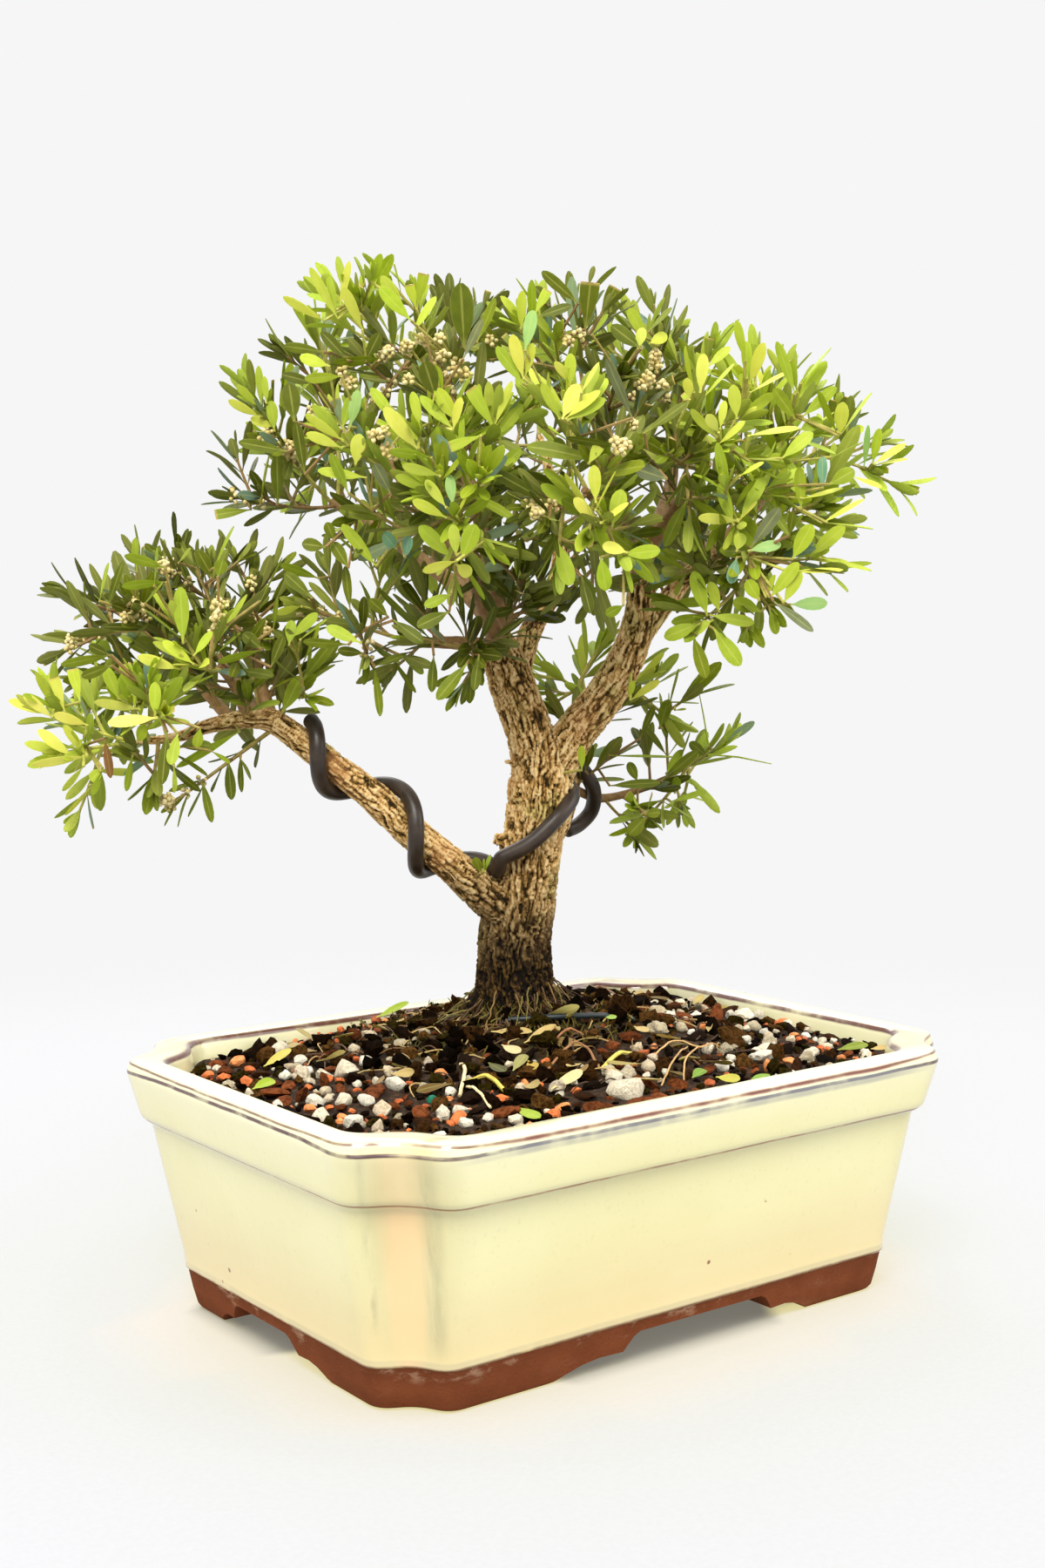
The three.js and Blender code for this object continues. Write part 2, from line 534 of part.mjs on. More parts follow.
function makeSoil(wireCut) {
  const random = seededRandom(SOIL_SEED);
  const foot = place(LIMBS.trunk[0][0], LIMBS.trunk[0][1], 0);
  const share = (SOIL_EDGE_Z - FLOOR_TOP_Z) / (POT_HEIGHT - LIP_ROUND - FLOOR_TOP_Z);
  const edgeHalf = CAVITY_FLOOR_HALF.map((low, i) => low + (CAVITY_TOP_HALF[i] - low) * share - GAP);
  const edge = divided(
    potOutline(edgeHalf, CAVITY_FLOOR_NOTCH + (CAVITY_TOP_NOTCH - CAVITY_FLOOR_NOTCH) * share), SOIL_SPAN);
  const shrink = new THREE.Vector2(...grown(CAVITY_FLOOR_HALF, -GAP)).divide(new THREE.Vector2(...edgeHalf));
  const floor = edge.map((point) => point.clone().multiply(shrink));
  const rings = [
    floor.map((point) => new THREE.Vector3(point.x, point.y, FLOOR_TOP_Z + GAP)),
    edge.map((point) => new THREE.Vector3(point.x, point.y, SOIL_EDGE_Z)),
  ];
  for (let ring = 1; ring <= SOIL_RINGS; ring += 1) {
    const part = ring / (SOIL_RINGS + 1);
    rings.push(edge.map((point) => {
      const spot = new THREE.Vector3(point.x, point.y, 0).lerp(foot, part);
      const [x, y] = inTreeFrame(spot);
      return spot.setZ(soilHeight(x, y) + SOIL_RELIEF * (2 * random() - 1));
    }));
  }
  let soil = loft(rings);
  for (let i = 0; i < LUMP_COUNT; i += 1) {
    const turn = i * GOLDEN_ANGLE;
    const out = 0.35 + 0.58 * Math.sqrt((i + random()) / LUMP_COUNT);
    const radius = LUMP_RADIUS[0] + (LUMP_RADIUS[1] - LUMP_RADIUS[0]) * random() ** 2;
    const spot = new THREE.Vector3(edgeHalf[0] * out * Math.cos(turn), edgeHalf[1] * out * Math.sin(turn), 0);
    const [x, y] = inTreeFrame(spot);
    const lump = new THREE.OctahedronGeometry(radius, 0);
    lump.rotateX(random() * Math.PI);
    lump.rotateZ(random() * Math.PI);
    lump.translate(spot.x, spot.y, soilHeight(x, y) + LUMP_PROUD * radius);
    soil = soil.add(toSolid(lump));
  }
  for (const x of [-DRAIN_X, DRAIN_X]) {
    const side = SCREEN_SIDE + 2 * GAP;
    const pocket = new THREE.BoxGeometry(side, side, 2 * (SCREEN_THICKNESS + GAP));
    pocket.translate(x, 0, FLOOR_TOP_Z + GAP);
    soil = soil.subtract(toSolid(pocket));
  }
  return largestBody(soil.subtract(makeFoot(CARVE)).subtract(wireCut));
}

// Foliage. A leaf or a straight stretch of stem is tested as a box: centre, three unit axes, half sizes.
function boxesTouch(a, b, gap) {
  const offset = b.centre.clone().sub(a.centre);
  if (offset.length() > a.reach + b.reach + gap) return false;
  const axes = [...a.axes, ...b.axes];
  for (const u of a.axes) {
    for (const v of b.axes) {
      const cross = u.clone().cross(v);
      if (cross.lengthSq() > 1e-6) axes.push(cross.normalize());
    }
  }
  const spread = (box, axis) => box.axes.reduce(
    (sum, side, i) => sum + box.half[i] * Math.abs(side.dot(axis)), 0);
  return axes.every((axis) => Math.abs(offset.dot(axis)) <= spread(a, axis) + spread(b, axis) + gap);
}

function makeBox(owner, centre, axes, half) {
  return { owner, centre, axes, half, reach: Math.hypot(...half) };
}

const WIRE_PATH = trainingWirePath();
const OBSTACLE_PATHS = [...Object.keys(LIMBS).map((name) => limbPath(name, 2)), WIRE_PATH];
const stemBoxes = [];
const leafBoxes = [];

function distanceToWood(point) {
  return Math.min(...OBSTACLE_PATHS.map((path) => {
    const near = nearestOn(path, point);
    return near.distance - near.radius;
  }));
}

function boxesOfStem(owner, points) {
  return framesAlong(points).slice(0, -1).map((frame, i) => {
    const span = points[i + 1].clone().sub(points[i]);
    const along = span.clone().normalize();
    const side = frame.side.clone().addScaledVector(along, -frame.side.dot(along)).normalize();
    return makeBox(owner, points[i].clone().addScaledVector(span, 0.5),
      [along, side, along.clone().cross(side)], [span.length() / 2, STEM_RADIUS, STEM_RADIUS]);
  });
}

function stemIsFree(owner, points) {
  const boxes = boxesOfStem(owner, points);
  if (boxes.some((box) => stemBoxes.some((other) => other.owner !== owner && boxesTouch(box, other, GAP)))) {
    return false;
  }
  return points.every((point, i) => {
    if (i === 0) return true;
    const needed = i === 1 ? 0.75 * STEM_RADIUS + GAP : STEM_RADIUS + 2 * GAP;
    const parts = i === 1 ? [0.6, 0.8, 1] : [0.4, 0.7, 1];
    return parts.every((part) => distanceToWood(points[i - 1].clone().lerp(point, part)) > needed);
  });
}

// Places on a limb where a stem can spring, the best first: near its tip and leaning towards the limb's end
const SWERVE_COST = 12;

function rootsOn(name, tip) {
  const path = limbPath(name, 4);
  const end = path[path.length - 1];
  const last = end.point.clone().sub(path[path.length - 2].point).normalize();
  const roots = [{ point: end.point.clone().addScaledVector(last, GAP + 0.05), out: last, cost: 0 }];
  for (let i = Math.floor(path.length * 0.3); i + 1 < path.length; i += 1) {
    const along = path[i + 1].point.clone().sub(path[i].point).normalize();
    const out = tip.clone().sub(path[i].point);
    out.addScaledVector(along, -out.dot(along)).normalize();
    for (const twist of [0, 0.7, -0.7]) {
      const turned = out.clone().applyAxisAngle(along, twist);
      roots.push({
        point: path[i].point.clone().addScaledVector(turned, path[i].radius + GAP + 0.1),
        out: turned,
        cost: 3 * Math.abs(twist) - 6 * tip.clone().sub(path[i].point).normalize().dot(along),
      });
    }
  }
  return roots.map((root) => {
    const chord = tip.clone().sub(root.point);
    const swerve = 1 - chord.clone().normalize().dot(root.out);
    return { ...root, cost: root.cost + chord.length() + SWERVE_COST * swerve };
  }).sort((a, b) => a.cost - b.cost);
}

const FORK_LEAN = 0.6;
const LONG_STEM = 13;

// The bare stretch of a stem runs straight between these distances, and side shoots fork off along it
function bareStops(length, pairs) {
  const bare = length - pairs[pairs.length - 1].down - NODE_HALF;
  return bare > LONG_STEM ? [0, 0.45 * bare, bare] : [0, bare];
}

function rootsOnStem({ curve, length, pairs }, tip) {
  const stops = bareStops(length, pairs).map((at) => curve.getPointAt(at / length));
  const base = stops[0];
  const bend = stops[1];
  const last = stops[stops.length - 1];
  const spots = stops.length === 2 ? [[base, last, 0.45], [base, last, 0.65], [base, last, 0.3]]
    : [[base, bend, 0.75], [bend, last, 0.3], [base, bend, 0.5], [bend, last, 0.7]];
  return spots.map(([from, to, part]) => {
    const point = from.clone().lerp(to, part);
    const out = tip.clone().sub(point).normalize();
    out.addScaledVector(to.clone().sub(from).normalize(), FORK_LEAN).normalize();
    return { point, out };
  });
}

const BOW_TRIES = 8;
const BOW_STEP = 2.4;
const STEM_SPANS = 5;
const ROOT_SPACING = 3.4;
const usedRoots = [];

function findStem(owner, roots, tip, random) {
  for (const root of roots) {
    const crowded = usedRoots.some((used) => used.distanceTo(root.point) < ROOT_SPACING);
    for (let i = 0; i < BOW_TRIES; i += 1) {
      const bow = new THREE.Vector3(random() - 0.5, random() - 0.5, random() - 0.6);
      const chord = tip.clone().sub(root.point);
      const middle = root.point.clone().addScaledVector(root.out, chord.length() * 0.28)
        .lerp(root.point.clone().addScaledVector(chord, 0.55), 0.45).addScaledVector(bow, BOW_STEP * i);
      const curve = new THREE.QuadraticBezierCurve3(root.point, middle, tip);
      if (!crowded && stemIsFree(owner, curve.getPoints(STEM_SPANS))) {
        return { curve, root, length: curve.getLength() };
      }
    }
  }
  return null;
}

function planSpray(owner, [limb, ...tips], seed) {
  const stems = [];
  tips.forEach(([x, y, z, buds], i) => {
    const random = seededRandom(seed + i);
    const tip = place(x, y, z);
    const roots = stems.length ? rootsOnStem(stems[0], tip) : rootsOn(limb, tip);
    const found = findStem(owner, roots, tip, random);
    if (!found) return;
    if (!stems.length) usedRoots.push(found.root.point);
    stemBoxes.push(...boxesOfStem(owner, found.curve.getPoints(STEM_SPANS)));
    const pairs = PAIRS.filter(({ down, bare, main }) => down + bare < found.length && !(main && stems.length));
    stems.push({ ...found, buds, pairs, random, shoot: `${owner}-${i}`, blades: [] });
  });
  return { owner, stems };
}

// Leaf pairs on a shoot, from its tip down: distance from the tip, least bare stem below it, lean in
// degrees and size. The third is for long main shoots only.
const PAIRS = [
  { down: 0.6, bare: 0, lean: 36, size: 0.85 },
  { down: 5.2, bare: 3, lean: 60, size: 1 },
  { down: 12, bare: 15, lean: 72, size: 0.95, main: true },
];
const NODE_HALF = 0.45;
const LEAF_TRIES = 8;

// A blade leaves the shoot at one corner of its square section and widens to a blunt end.
// Its edge is given as part of the length and part of the width.
const BLADE_EDGE = [[0.6, 0.5], [0.96, 0.3]];
const BLADE_CREST = 0.58;
const BLADE_DROOP = 0.9;
const BLADE_BOX_HALF = 0.8;
const SIZE_SPREAD = 0.3;

function makeBlade(frame, turn, lean, size, random) {
  const radial = frame.side.clone().multiplyScalar(Math.cos(turn)).addScaledVector(frame.up, Math.sin(turn));
  const { along } = frame;
  const direction = along.clone().multiplyScalar(Math.cos(lean)).addScaledVector(radial, Math.sin(lean));
  const face = along.clone().multiplyScalar(Math.sin(lean)).addScaledVector(radial, -Math.cos(lean));
  return {
    node: frame.point,
    direction,
    face,
    across: face.clone().cross(direction),
    length: LEAF_LENGTH * size * (1 + SIZE_SPREAD * (random() - 0.5)),
    width: LEAF_WIDTH * Math.sqrt(size) * (1 + SIZE_SPREAD * (random() - 0.5)),
  };
}

function bladePoints({ node, direction, face, across, length, width }) {
  const at = (part, side, lift) => node.clone()
    .addScaledVector(direction, length * part)
    .addScaledVector(across, width * side)
    .addScaledVector(face, lift - BLADE_DROOP * part * part);
  return {
    edge: [...BLADE_EDGE.map(([part, side]) => at(part, side, 0)),
      ...BLADE_EDGE.map(([part, side]) => at(part, -side, 0)).reverse()],
    top: at(BLADE_CREST, 0, LEAF_THICKNESS / 2),
    under: at(BLADE_CREST, 0, -LEAF_THICKNESS / 2),
  };
}

function bladeBox(owner, { node, direction, across, face, length, width }) {
  const centre = node.clone().addScaledVector(direction, length * 0.56).addScaledVector(face, -BLADE_DROOP / 3);
  return makeBox(owner, centre, [direction, across, face], [length * 0.44, width / 2, BLADE_BOX_HALF]);
}

function bladeIsFree(box, shoot) {
  if (stemBoxes.some((other) => other.owner !== box.owner && boxesTouch(box, other, GAP))) return false;
  if (leafBoxes.some((other) => other.shoot !== shoot && boxesTouch(
    box, other, other.owner === box.owner ? 0 : GAP))) return false;
  const [direction, across] = box.axes;
  return [-1, -0.5, 0, 0.5, 1].every((along) => [-1, 0, 1].every((side) => distanceToWood(
    box.centre.clone().addScaledVector(direction, along * box.half[0])
      .addScaledVector(across, side * box.half[1])) > BLADE_BOX_HALF + GAP));
}

// A blade, turned or drawn in until it stands free of every other spray
function findBlade(owner, shoot, frame, pair, turn, random) {
  for (let i = 0; i < LEAF_TRIES; i += 1) {
    const lean = THREE.MathUtils.degToRad(pair.lean + (8 + 5 * i) * (random() - 0.5));
    const size = pair.size * (1 - 0.04 * i);
    const blade = makeBlade(frame, turn + 0.14 * i * (random() - 0.5), lean, size, random);
    const box = bladeBox(owner, blade);
    if (bladeIsFree(box, shoot)) {
      leafBoxes.push({ ...box, shoot });
      return blade;
    }
  }
  return null;
}

function layOutShoot(stem) {
  const { curve, length, root, pairs, random } = stem;
  const stops = bareStops(length, pairs).slice(0, -1).map((at) => ({ at, order: -1 }));
  for (let order = pairs.length - 1; order >= 0; order -= 1) {
    const node = length - pairs[order].down;
    stops.push({ at: node - NODE_HALF, order }, { at: node + NODE_HALF, order: -1 });
  }
  const frames = framesAlong(stops.map(({ at }) => curve.getPointAt(at / length)));
  frames[0].along = root.out;
  frames[0].side.addScaledVector(root.out, -frames[0].side.dot(root.out)).normalize();
  frames[0].up = root.out.clone().cross(frames[0].side);
  Object.assign(stem, { stops, frames, turn: random() * Math.PI });
}

function layOutPair(owner, stem, order) {
  const { frames, stops, turn, pairs, shoot, random } = stem;
  if (order >= pairs.length) return;
  const i = stops.findIndex((stop) => stop.order === order);
  const middle = { ...frames[i], point: frames[i].point.clone().lerp(frames[i + 1].point, 0.5) };
  stem.blades[order] = [0, Math.PI].map((half) => findBlade(
    owner, shoot, middle, pairs[order], turn + order * Math.PI / 2 + half, random));
}

// One shoot as a single skin: a square stem whose corners run out into blades at every pair
function growShoot({ frames, stops, turn, blades, buds }) {
  const points = frames.flatMap((frame, i) => [0, 1, 2, 3].map((corner) => {
    const angle = turn + corner * Math.PI / 2;
    const radius = STEM_RADIUS * (1.1 - 0.3 * i / frames.length);
    return frame.point.clone().addScaledVector(frame.side, radius * Math.cos(angle))
      .addScaledVector(frame.up, radius * Math.sin(angle));
  }));
  const triangles = [[0, 3, 2], [0, 2, 1]];
  frames.slice(0, -1).forEach((frame, i) => {
    const low = (corner) => 4 * i + (corner + 4) % 4;
    const high = (corner) => low(corner) + 4;
    const { order } = stops[i];
    [0, 1].forEach((half) => {
      const corner = Math.max(order, 0) + 2 * half;
      const blade = order >= 0 && blades[order][half];
      if (!blade) {
        for (const k of [corner - 1, corner]) {
          triangles.push([low(k), low(k + 1), high(k + 1)], [low(k), high(k + 1), high(k)]);
        }
        return;
      }
      const { edge, top, under } = bladePoints(blade);
      const start = points.length;
      points.push(...edge, top, under);
      const rim = edge.map((_, k) => start + k);
      const topLoop = [high(corner + 1), ...rim, high(corner - 1), high(corner), high(corner + 1)];
      const underLoop = [low(corner + 1), ...rim, low(corner - 1), low(corner), low(corner + 1)];
      for (let k = 0; k + 1 < topLoop.length; k += 1) {
        triangles.push([topLoop[k + 1], topLoop[k], start + edge.length]);
        triangles.push([underLoop[k], underLoop[k + 1], start + edge.length + 1]);
      }
      triangles.push([high(corner + 1), rim[0], low(corner + 1)]);
      triangles.push([low(corner - 1), rim[rim.length - 1], high(corner - 1)]);
    });
  });
  // The shoot ends in a point, or in a fat flower bud
  const end = frames[frames.length - 1];
  let ring = [0, 1, 2, 3].map((corner) => 4 * (frames.length - 1) + corner);
  if (buds) {
    const swell = ring.map((index) => points[index].clone().sub(end.point)
      .multiplyScalar(BUD_RADIUS / STEM_RADIUS).add(end.point).addScaledVector(end.along, 0.4 * BUD_LENGTH));
    const start = points.length;
    points.push(...swell);
    ring.forEach((index, k) => {
      const next = (k + 1) % 4;
      triangles.push([index, ring[next], start + next], [index, start + next, start + k]);
    });
    ring = [0, 1, 2, 3].map((corner) => start + corner);
  }
  points.push(end.point.clone().addScaledVector(end.along, buds ? BUD_LENGTH : STEM_RADIUS));
  ring.forEach((index, k) => triangles.push([index, ring[(k + 1) % 4], points.length - 1]));
  return fromTriangles(points, triangles);
}

function growSpray({ stems }) {
  return largestBody(stems.map(growShoot).reduce((sum, shoot) => sum.add(shoot)));
}

// Materials
const MATERIALS = {
  glaze: { color: 0xf2e6bd, roughness: 0.2, metalness: 0 },
  soil: { color: 0x33261c, roughness: 0.95, metalness: 0 },
  bark: { color: 0xb08a58, roughness: 0.9, metalness: 0 },
  wire: { color: 0x35302b, roughness: 0.5, metalness: 0.2 },
  screen: { color: 0x1c1c1c, roughness: 0.6, metalness: 0 },
  leaf: { color: 0x6f8f2c, roughness: 0.45, metalness: 0 },
};

const bonsai = new THREE.Group();

function addPiece(name, solid, material) {
  const mesh = new THREE.Mesh(toGeometry(solid), new THREE.MeshStandardMaterial(MATERIALS[material]));
  mesh.name = name;
  bonsai.add(mesh);
}

const swollen = (path) => path.map(({ point, radius }) => ({ point, radius: radius + CARVE }));

addPiece('pot', makePot(), 'glaze');
addPiece('drain_screen_left', makeScreen(-DRAIN_X), 'screen');
addPiece('drain_screen_right', makeScreen(DRAIN_X), 'screen');
addPiece('soil', makeSoil(tube(tiePath(CARVE), TIE_SIDES)), 'soil');
addPiece('trunk', makeTrunk(tube(swollen(WIRE_PATH), WIRE_SIDES)), 'bark');
addPiece('training_wire', tube(WIRE_PATH, WIRE_SIDES), 'wire');
addPiece('tie_wire', tube(tiePath(0), TIE_SIDES), 'wire');

// Every stem is laid out before the first leaf, and the leaves at the tips before those lower down
const plans = Object.entries({ ...SPRAYS, ...BACK_SPRAYS })
  .map(([name, spray], i) => planSpray(name, spray, FOLIAGE_SEED + 10 * i));
plans.forEach(({ stems }) => stems.forEach(layOutShoot));
PAIRS.forEach((_, order) => plans.forEach(({ owner, stems }) => stems
  .forEach((stem) => layOutPair(owner, stem, order))));
for (const plan of plans) addPiece(`spray_${plan.owner}`, growSpray(plan), 'leaf');

// Origin at the middle of the ground that the whole plant covers
const bounds = new THREE.Box3().setFromObject(bonsai);
const middle = bounds.getCenter(new THREE.Vector3());
bonsai.position.set(-middle.x, -middle.y, -bounds.min.z);
bonsai.updateMatrixWorld(true);

export default bonsai;
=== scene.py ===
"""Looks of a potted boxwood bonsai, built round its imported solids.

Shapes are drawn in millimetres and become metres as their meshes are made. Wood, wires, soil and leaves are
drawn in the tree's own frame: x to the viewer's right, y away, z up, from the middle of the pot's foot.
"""

import math
import random

import bmesh
import bpy
import numpy as np
from mathutils import Matrix, Vector, noise


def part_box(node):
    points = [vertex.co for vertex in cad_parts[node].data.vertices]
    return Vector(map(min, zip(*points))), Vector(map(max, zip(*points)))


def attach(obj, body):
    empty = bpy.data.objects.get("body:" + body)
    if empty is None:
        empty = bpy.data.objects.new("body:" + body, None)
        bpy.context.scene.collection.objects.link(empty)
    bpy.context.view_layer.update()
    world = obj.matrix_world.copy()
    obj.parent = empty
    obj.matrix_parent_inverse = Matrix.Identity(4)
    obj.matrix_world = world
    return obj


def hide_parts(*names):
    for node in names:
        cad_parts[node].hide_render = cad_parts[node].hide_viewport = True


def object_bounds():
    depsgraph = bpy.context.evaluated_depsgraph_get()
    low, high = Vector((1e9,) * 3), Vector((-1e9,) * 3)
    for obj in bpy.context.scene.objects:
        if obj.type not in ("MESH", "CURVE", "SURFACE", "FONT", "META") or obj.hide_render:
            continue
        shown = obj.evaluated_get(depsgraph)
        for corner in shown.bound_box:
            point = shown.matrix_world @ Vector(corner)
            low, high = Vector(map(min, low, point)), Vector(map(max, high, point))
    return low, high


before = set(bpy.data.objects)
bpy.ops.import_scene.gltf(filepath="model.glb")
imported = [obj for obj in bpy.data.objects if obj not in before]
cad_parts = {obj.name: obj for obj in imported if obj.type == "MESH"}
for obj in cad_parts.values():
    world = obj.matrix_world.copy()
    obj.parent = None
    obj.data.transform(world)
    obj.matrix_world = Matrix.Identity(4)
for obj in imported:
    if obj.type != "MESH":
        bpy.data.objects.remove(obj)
CAD_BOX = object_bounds()
MM = 0.001
BOX_LOW, BOX_HIGH = (np.array(corner) / MM for corner in CAD_BOX)
POT_LOW, POT_HIGH = (np.array(corner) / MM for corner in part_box("pot"))
POT_CENTRE = np.array([*(POT_LOW + POT_HIGH)[:2] / 2, 0])
# Seeds. Without one, noise_vector follows the clock
GRAIN_SEED = 7
SHOWN_SEED = 5
BOUGH_SEED = 3
LITTER_SEED = 21
noise.seed_set(LITTER_SEED)

# Camera, from the pot's centre
PHOTO_SIZE = (1200, 1800)
CAMERA_SPOT = (-329.55, -435.12, 187.5)
CAMERA_AZIMUTH = -36.691
CAMERA_ELEVATION = 4.363
CAMERA_ROLL = -0.487
CAMERA_LENS = 44.306
SENSOR = 36
CLIP = (0.01, 50)

# Pot
POT_HEIGHT = 71
RIM_HALF = (101.5, 76)
RIM_NOTCH = 18.3
BODY_TOP_Z = 53.4
BODY_TOP_HALF = (97.2, 70.6)
BODY_TOP_NOTCH = 17
BASE_HALF = (86.9, 60.6)
BASE_NOTCH = 12.9
NOTCH_DEPTH = 0.66
NOTCH_BEND = 0.3
CAVITY_TOP_HALF = (94.2, 68.8)
CAVITY_TOP_NOTCH = 18.8
CAVITY_FLOOR_HALF = (82.5, 56.4)
CAVITY_FLOOR_NOTCH = 12
CAVITY_TOP_Z = 69.8
FLOOR_TOP_Z = 14
FLOOR_UNDERSIDE_Z = 8.6
FOOT_THICKNESS = 11
GLAZE_LINE_Z = 11.45
ARCH_LOBE = ((0, 0), (0.18, 1.7), (0.4, 3.1), (0.65, 3.8), (1, 3.5))
ARCH_RISE = ((0.25, 5.2), (0.6, 7.2), (1, 8.2))
LONG_ARCH = ((-43, -20, -15), (47.5, 32.5, 28))
SHORT_ARCH = ((-27, -11.5, -6.5), (32, 23, 19.5))
DRAIN_RADIUS = 9
DRAIN_X = 45

# Soil
SOIL_EDGE_Z = 65
SOIL_MOUND = 12.5
SOIL_MOUND_RADIUS = 52
SOIL_MOUND_CENTRE = (2, 28)
SOIL_FLOOR_Z = 15.9
SOIL_ROUNDS = 12

# The tree stands turned in its pot
TURN = math.radians(-36.7)

# Wood: points with their radius, from a limb's root to its end
LIMBS = {
    "trunk": [[-7, 24, 42, 8.5], [-7, 24, 66, 9.5], [-7, 24, 74, 13.2], [-7, 24, 80, 12], [-7, 24, 88, 10.9],
        [-7, 24, 98, 10.4], [-5, 24, 109, 9.9], [-3, 24, 119, 8.9], [-1, 24, 131, 8.7], [1, 24, 143, 9.3],
        [2, 24, 152, 8]],
    "left_limb": [[1, 24, 144, 7.2], [-2, 24, 159, 6.9], [-6, 25, 170, 6.7], [-9, 26, 179, 6.4],
        [-12, 26, 188, 4.6]],
    "right_limb": [[4, 24, 147, 6.4], [12, 23, 160, 6], [21, 21, 171, 5.7], [27, 20, 182, 5.2],
        [30, 21, 191, 4.7], [31, 22, 200, 4.2], [31, 24, 208, 3.4], [34, 26, 215, 2.9], [38, 28, 221, 2.2]],
    "right_fork": [[28, 21, 184, 3.8], [34, 24, 192, 3.4], [39, 26, 198, 3], [45, 28, 205, 2.5],
        [53, 26, 210, 2], [60, 22, 213, 1.5]],
    "rear_limb": [[-6, 26, 174, 3.8], [-3, 32, 185, 3.5], [0, 38, 192, 3.2], [5, 44, 200, 2.9],
        [8, 54, 214, 2.3], [6, 66, 234, 1.8], [2, 74, 251, 1.3]],
    "left_branch": [[-6, 24, 101, 6.4], [-12, 20, 108, 5.8], [-20, 16, 116, 5.3], [-28, 12, 124, 4.9],
        [-37, 9, 132, 4.7], [-47, 7, 142, 4.4], [-57, 6, 150, 4.1], [-67, 5, 158, 3.9], [-75, 4, 164, 3.5],
        [-82, 2, 165, 2.9], [-93, 0, 163, 2.1], [-102, -2, 160, 1.5], [-113, -4, 159, 1.1]],
    "back_stem": [[3, 29, 124, 3.2], [9, 40, 134, 2.5], [12, 47, 145, 2], [15, 54, 155, 1.7],
        [21, 60, 164, 1.4], [25, 64, 171, 1.1]],
    "back_twig": [[11, 45, 141, 1.5], [20, 55, 137, 1.4], [32, 60, 139, 1.2], [42, 62, 143, 0.9]],
    "fringe_bough": [[-11, 26, 183, 2.8], [-15, 12, 185, 2.3], [-24, 4, 186, 1.9], [-33, 0, 186, 1.4]],
    "left_bough": [[-11, 26, 186, 3], [-18, 34, 198, 2.6], [-33, 42, 210, 2.2], [-49, 46, 221, 1.7],
        [-62, 46, 229, 1.2]],
    "front_left_bough": [[-11, 26, 186, 2.8], [-16, 10, 200, 2.4], [-19, -4, 215, 1.9], [-24, -12, 226, 1.3]],
    "top_left_bough": [[-11, 26, 187, 3.2], [-13, 24, 208, 2.7], [-18, 24, 229, 2.1], [-26, 28, 249, 1.6],
        [-35, 30, 263, 1.1]],
    "front_right_bough": [[34, 26, 214, 2.2], [43, 14, 227, 1.8], [49, 4, 236, 1.2]],
    "front_bough": [[31, 23, 205, 2.6], [26, 4, 215, 2.1], [20, -12, 221, 1.6], [13, -20, 227, 1.1]],
    "top_right_bough": [[35, 27, 218, 2.4], [41, 40, 232, 2], [42, 50, 248, 1.5], [38, 54, 262, 1.1]],
    "right_bough": [[45, 28, 204, 2.2], [62, 40, 221, 1.8], [72, 46, 232, 1.5], [77, 46, 240, 1.1]],
    "rear_left_bough": [[-17, 33, 196, 2.3], [-26, 52, 214, 1.9], [-40, 68, 234, 1.5], [-50, 75, 250, 1.1]],
    "rear_right_bough": [[39, 26, 198, 2.4], [48, 44, 207, 1.9], [56, 60, 218, 1.5], [62, 70, 230, 1.1]],
    "top_bough": [[31, 24, 207, 2.8], [26, 26, 226, 2.2], [20, 26, 244, 1.6], [15, 30, 259, 1.1]],
    "pad_front": [[-82, 2, 165, 1.9], [-85, -2, 174, 1.4], [-89, -6, 180, 1]],
    "pad_middle": [[-75, 4, 163, 2.2], [-79, 10, 173, 1.8], [-82, 16, 183, 1.4], [-88, 18, 192, 1]],
    "pad_left": [[-86, 1, 164, 1.9], [-96, 12, 173, 1.6], [-104, 18, 182, 1.2], [-110, 20, 187, 0.9]],
    "pad_back": [[-78, 4, 164, 2.1], [-87, 26, 173, 1.6], [-95, 40, 182, 1.1]],
}
BARE_LIMBS = ("trunk", "left_limb", "right_limb", "left_branch")

# Buttress roots: direction in degrees round the trunk's foot and reach
ROOTS = ((195, 20), (265, 8), (345, 16), (60, 17), (130, 18))
ROOT_SPOTS = ((0, 4, 84, 4.2), (0.5, 2, 78, 3.6), (1, 0, 73, 2), (1, 6, 68, 1))

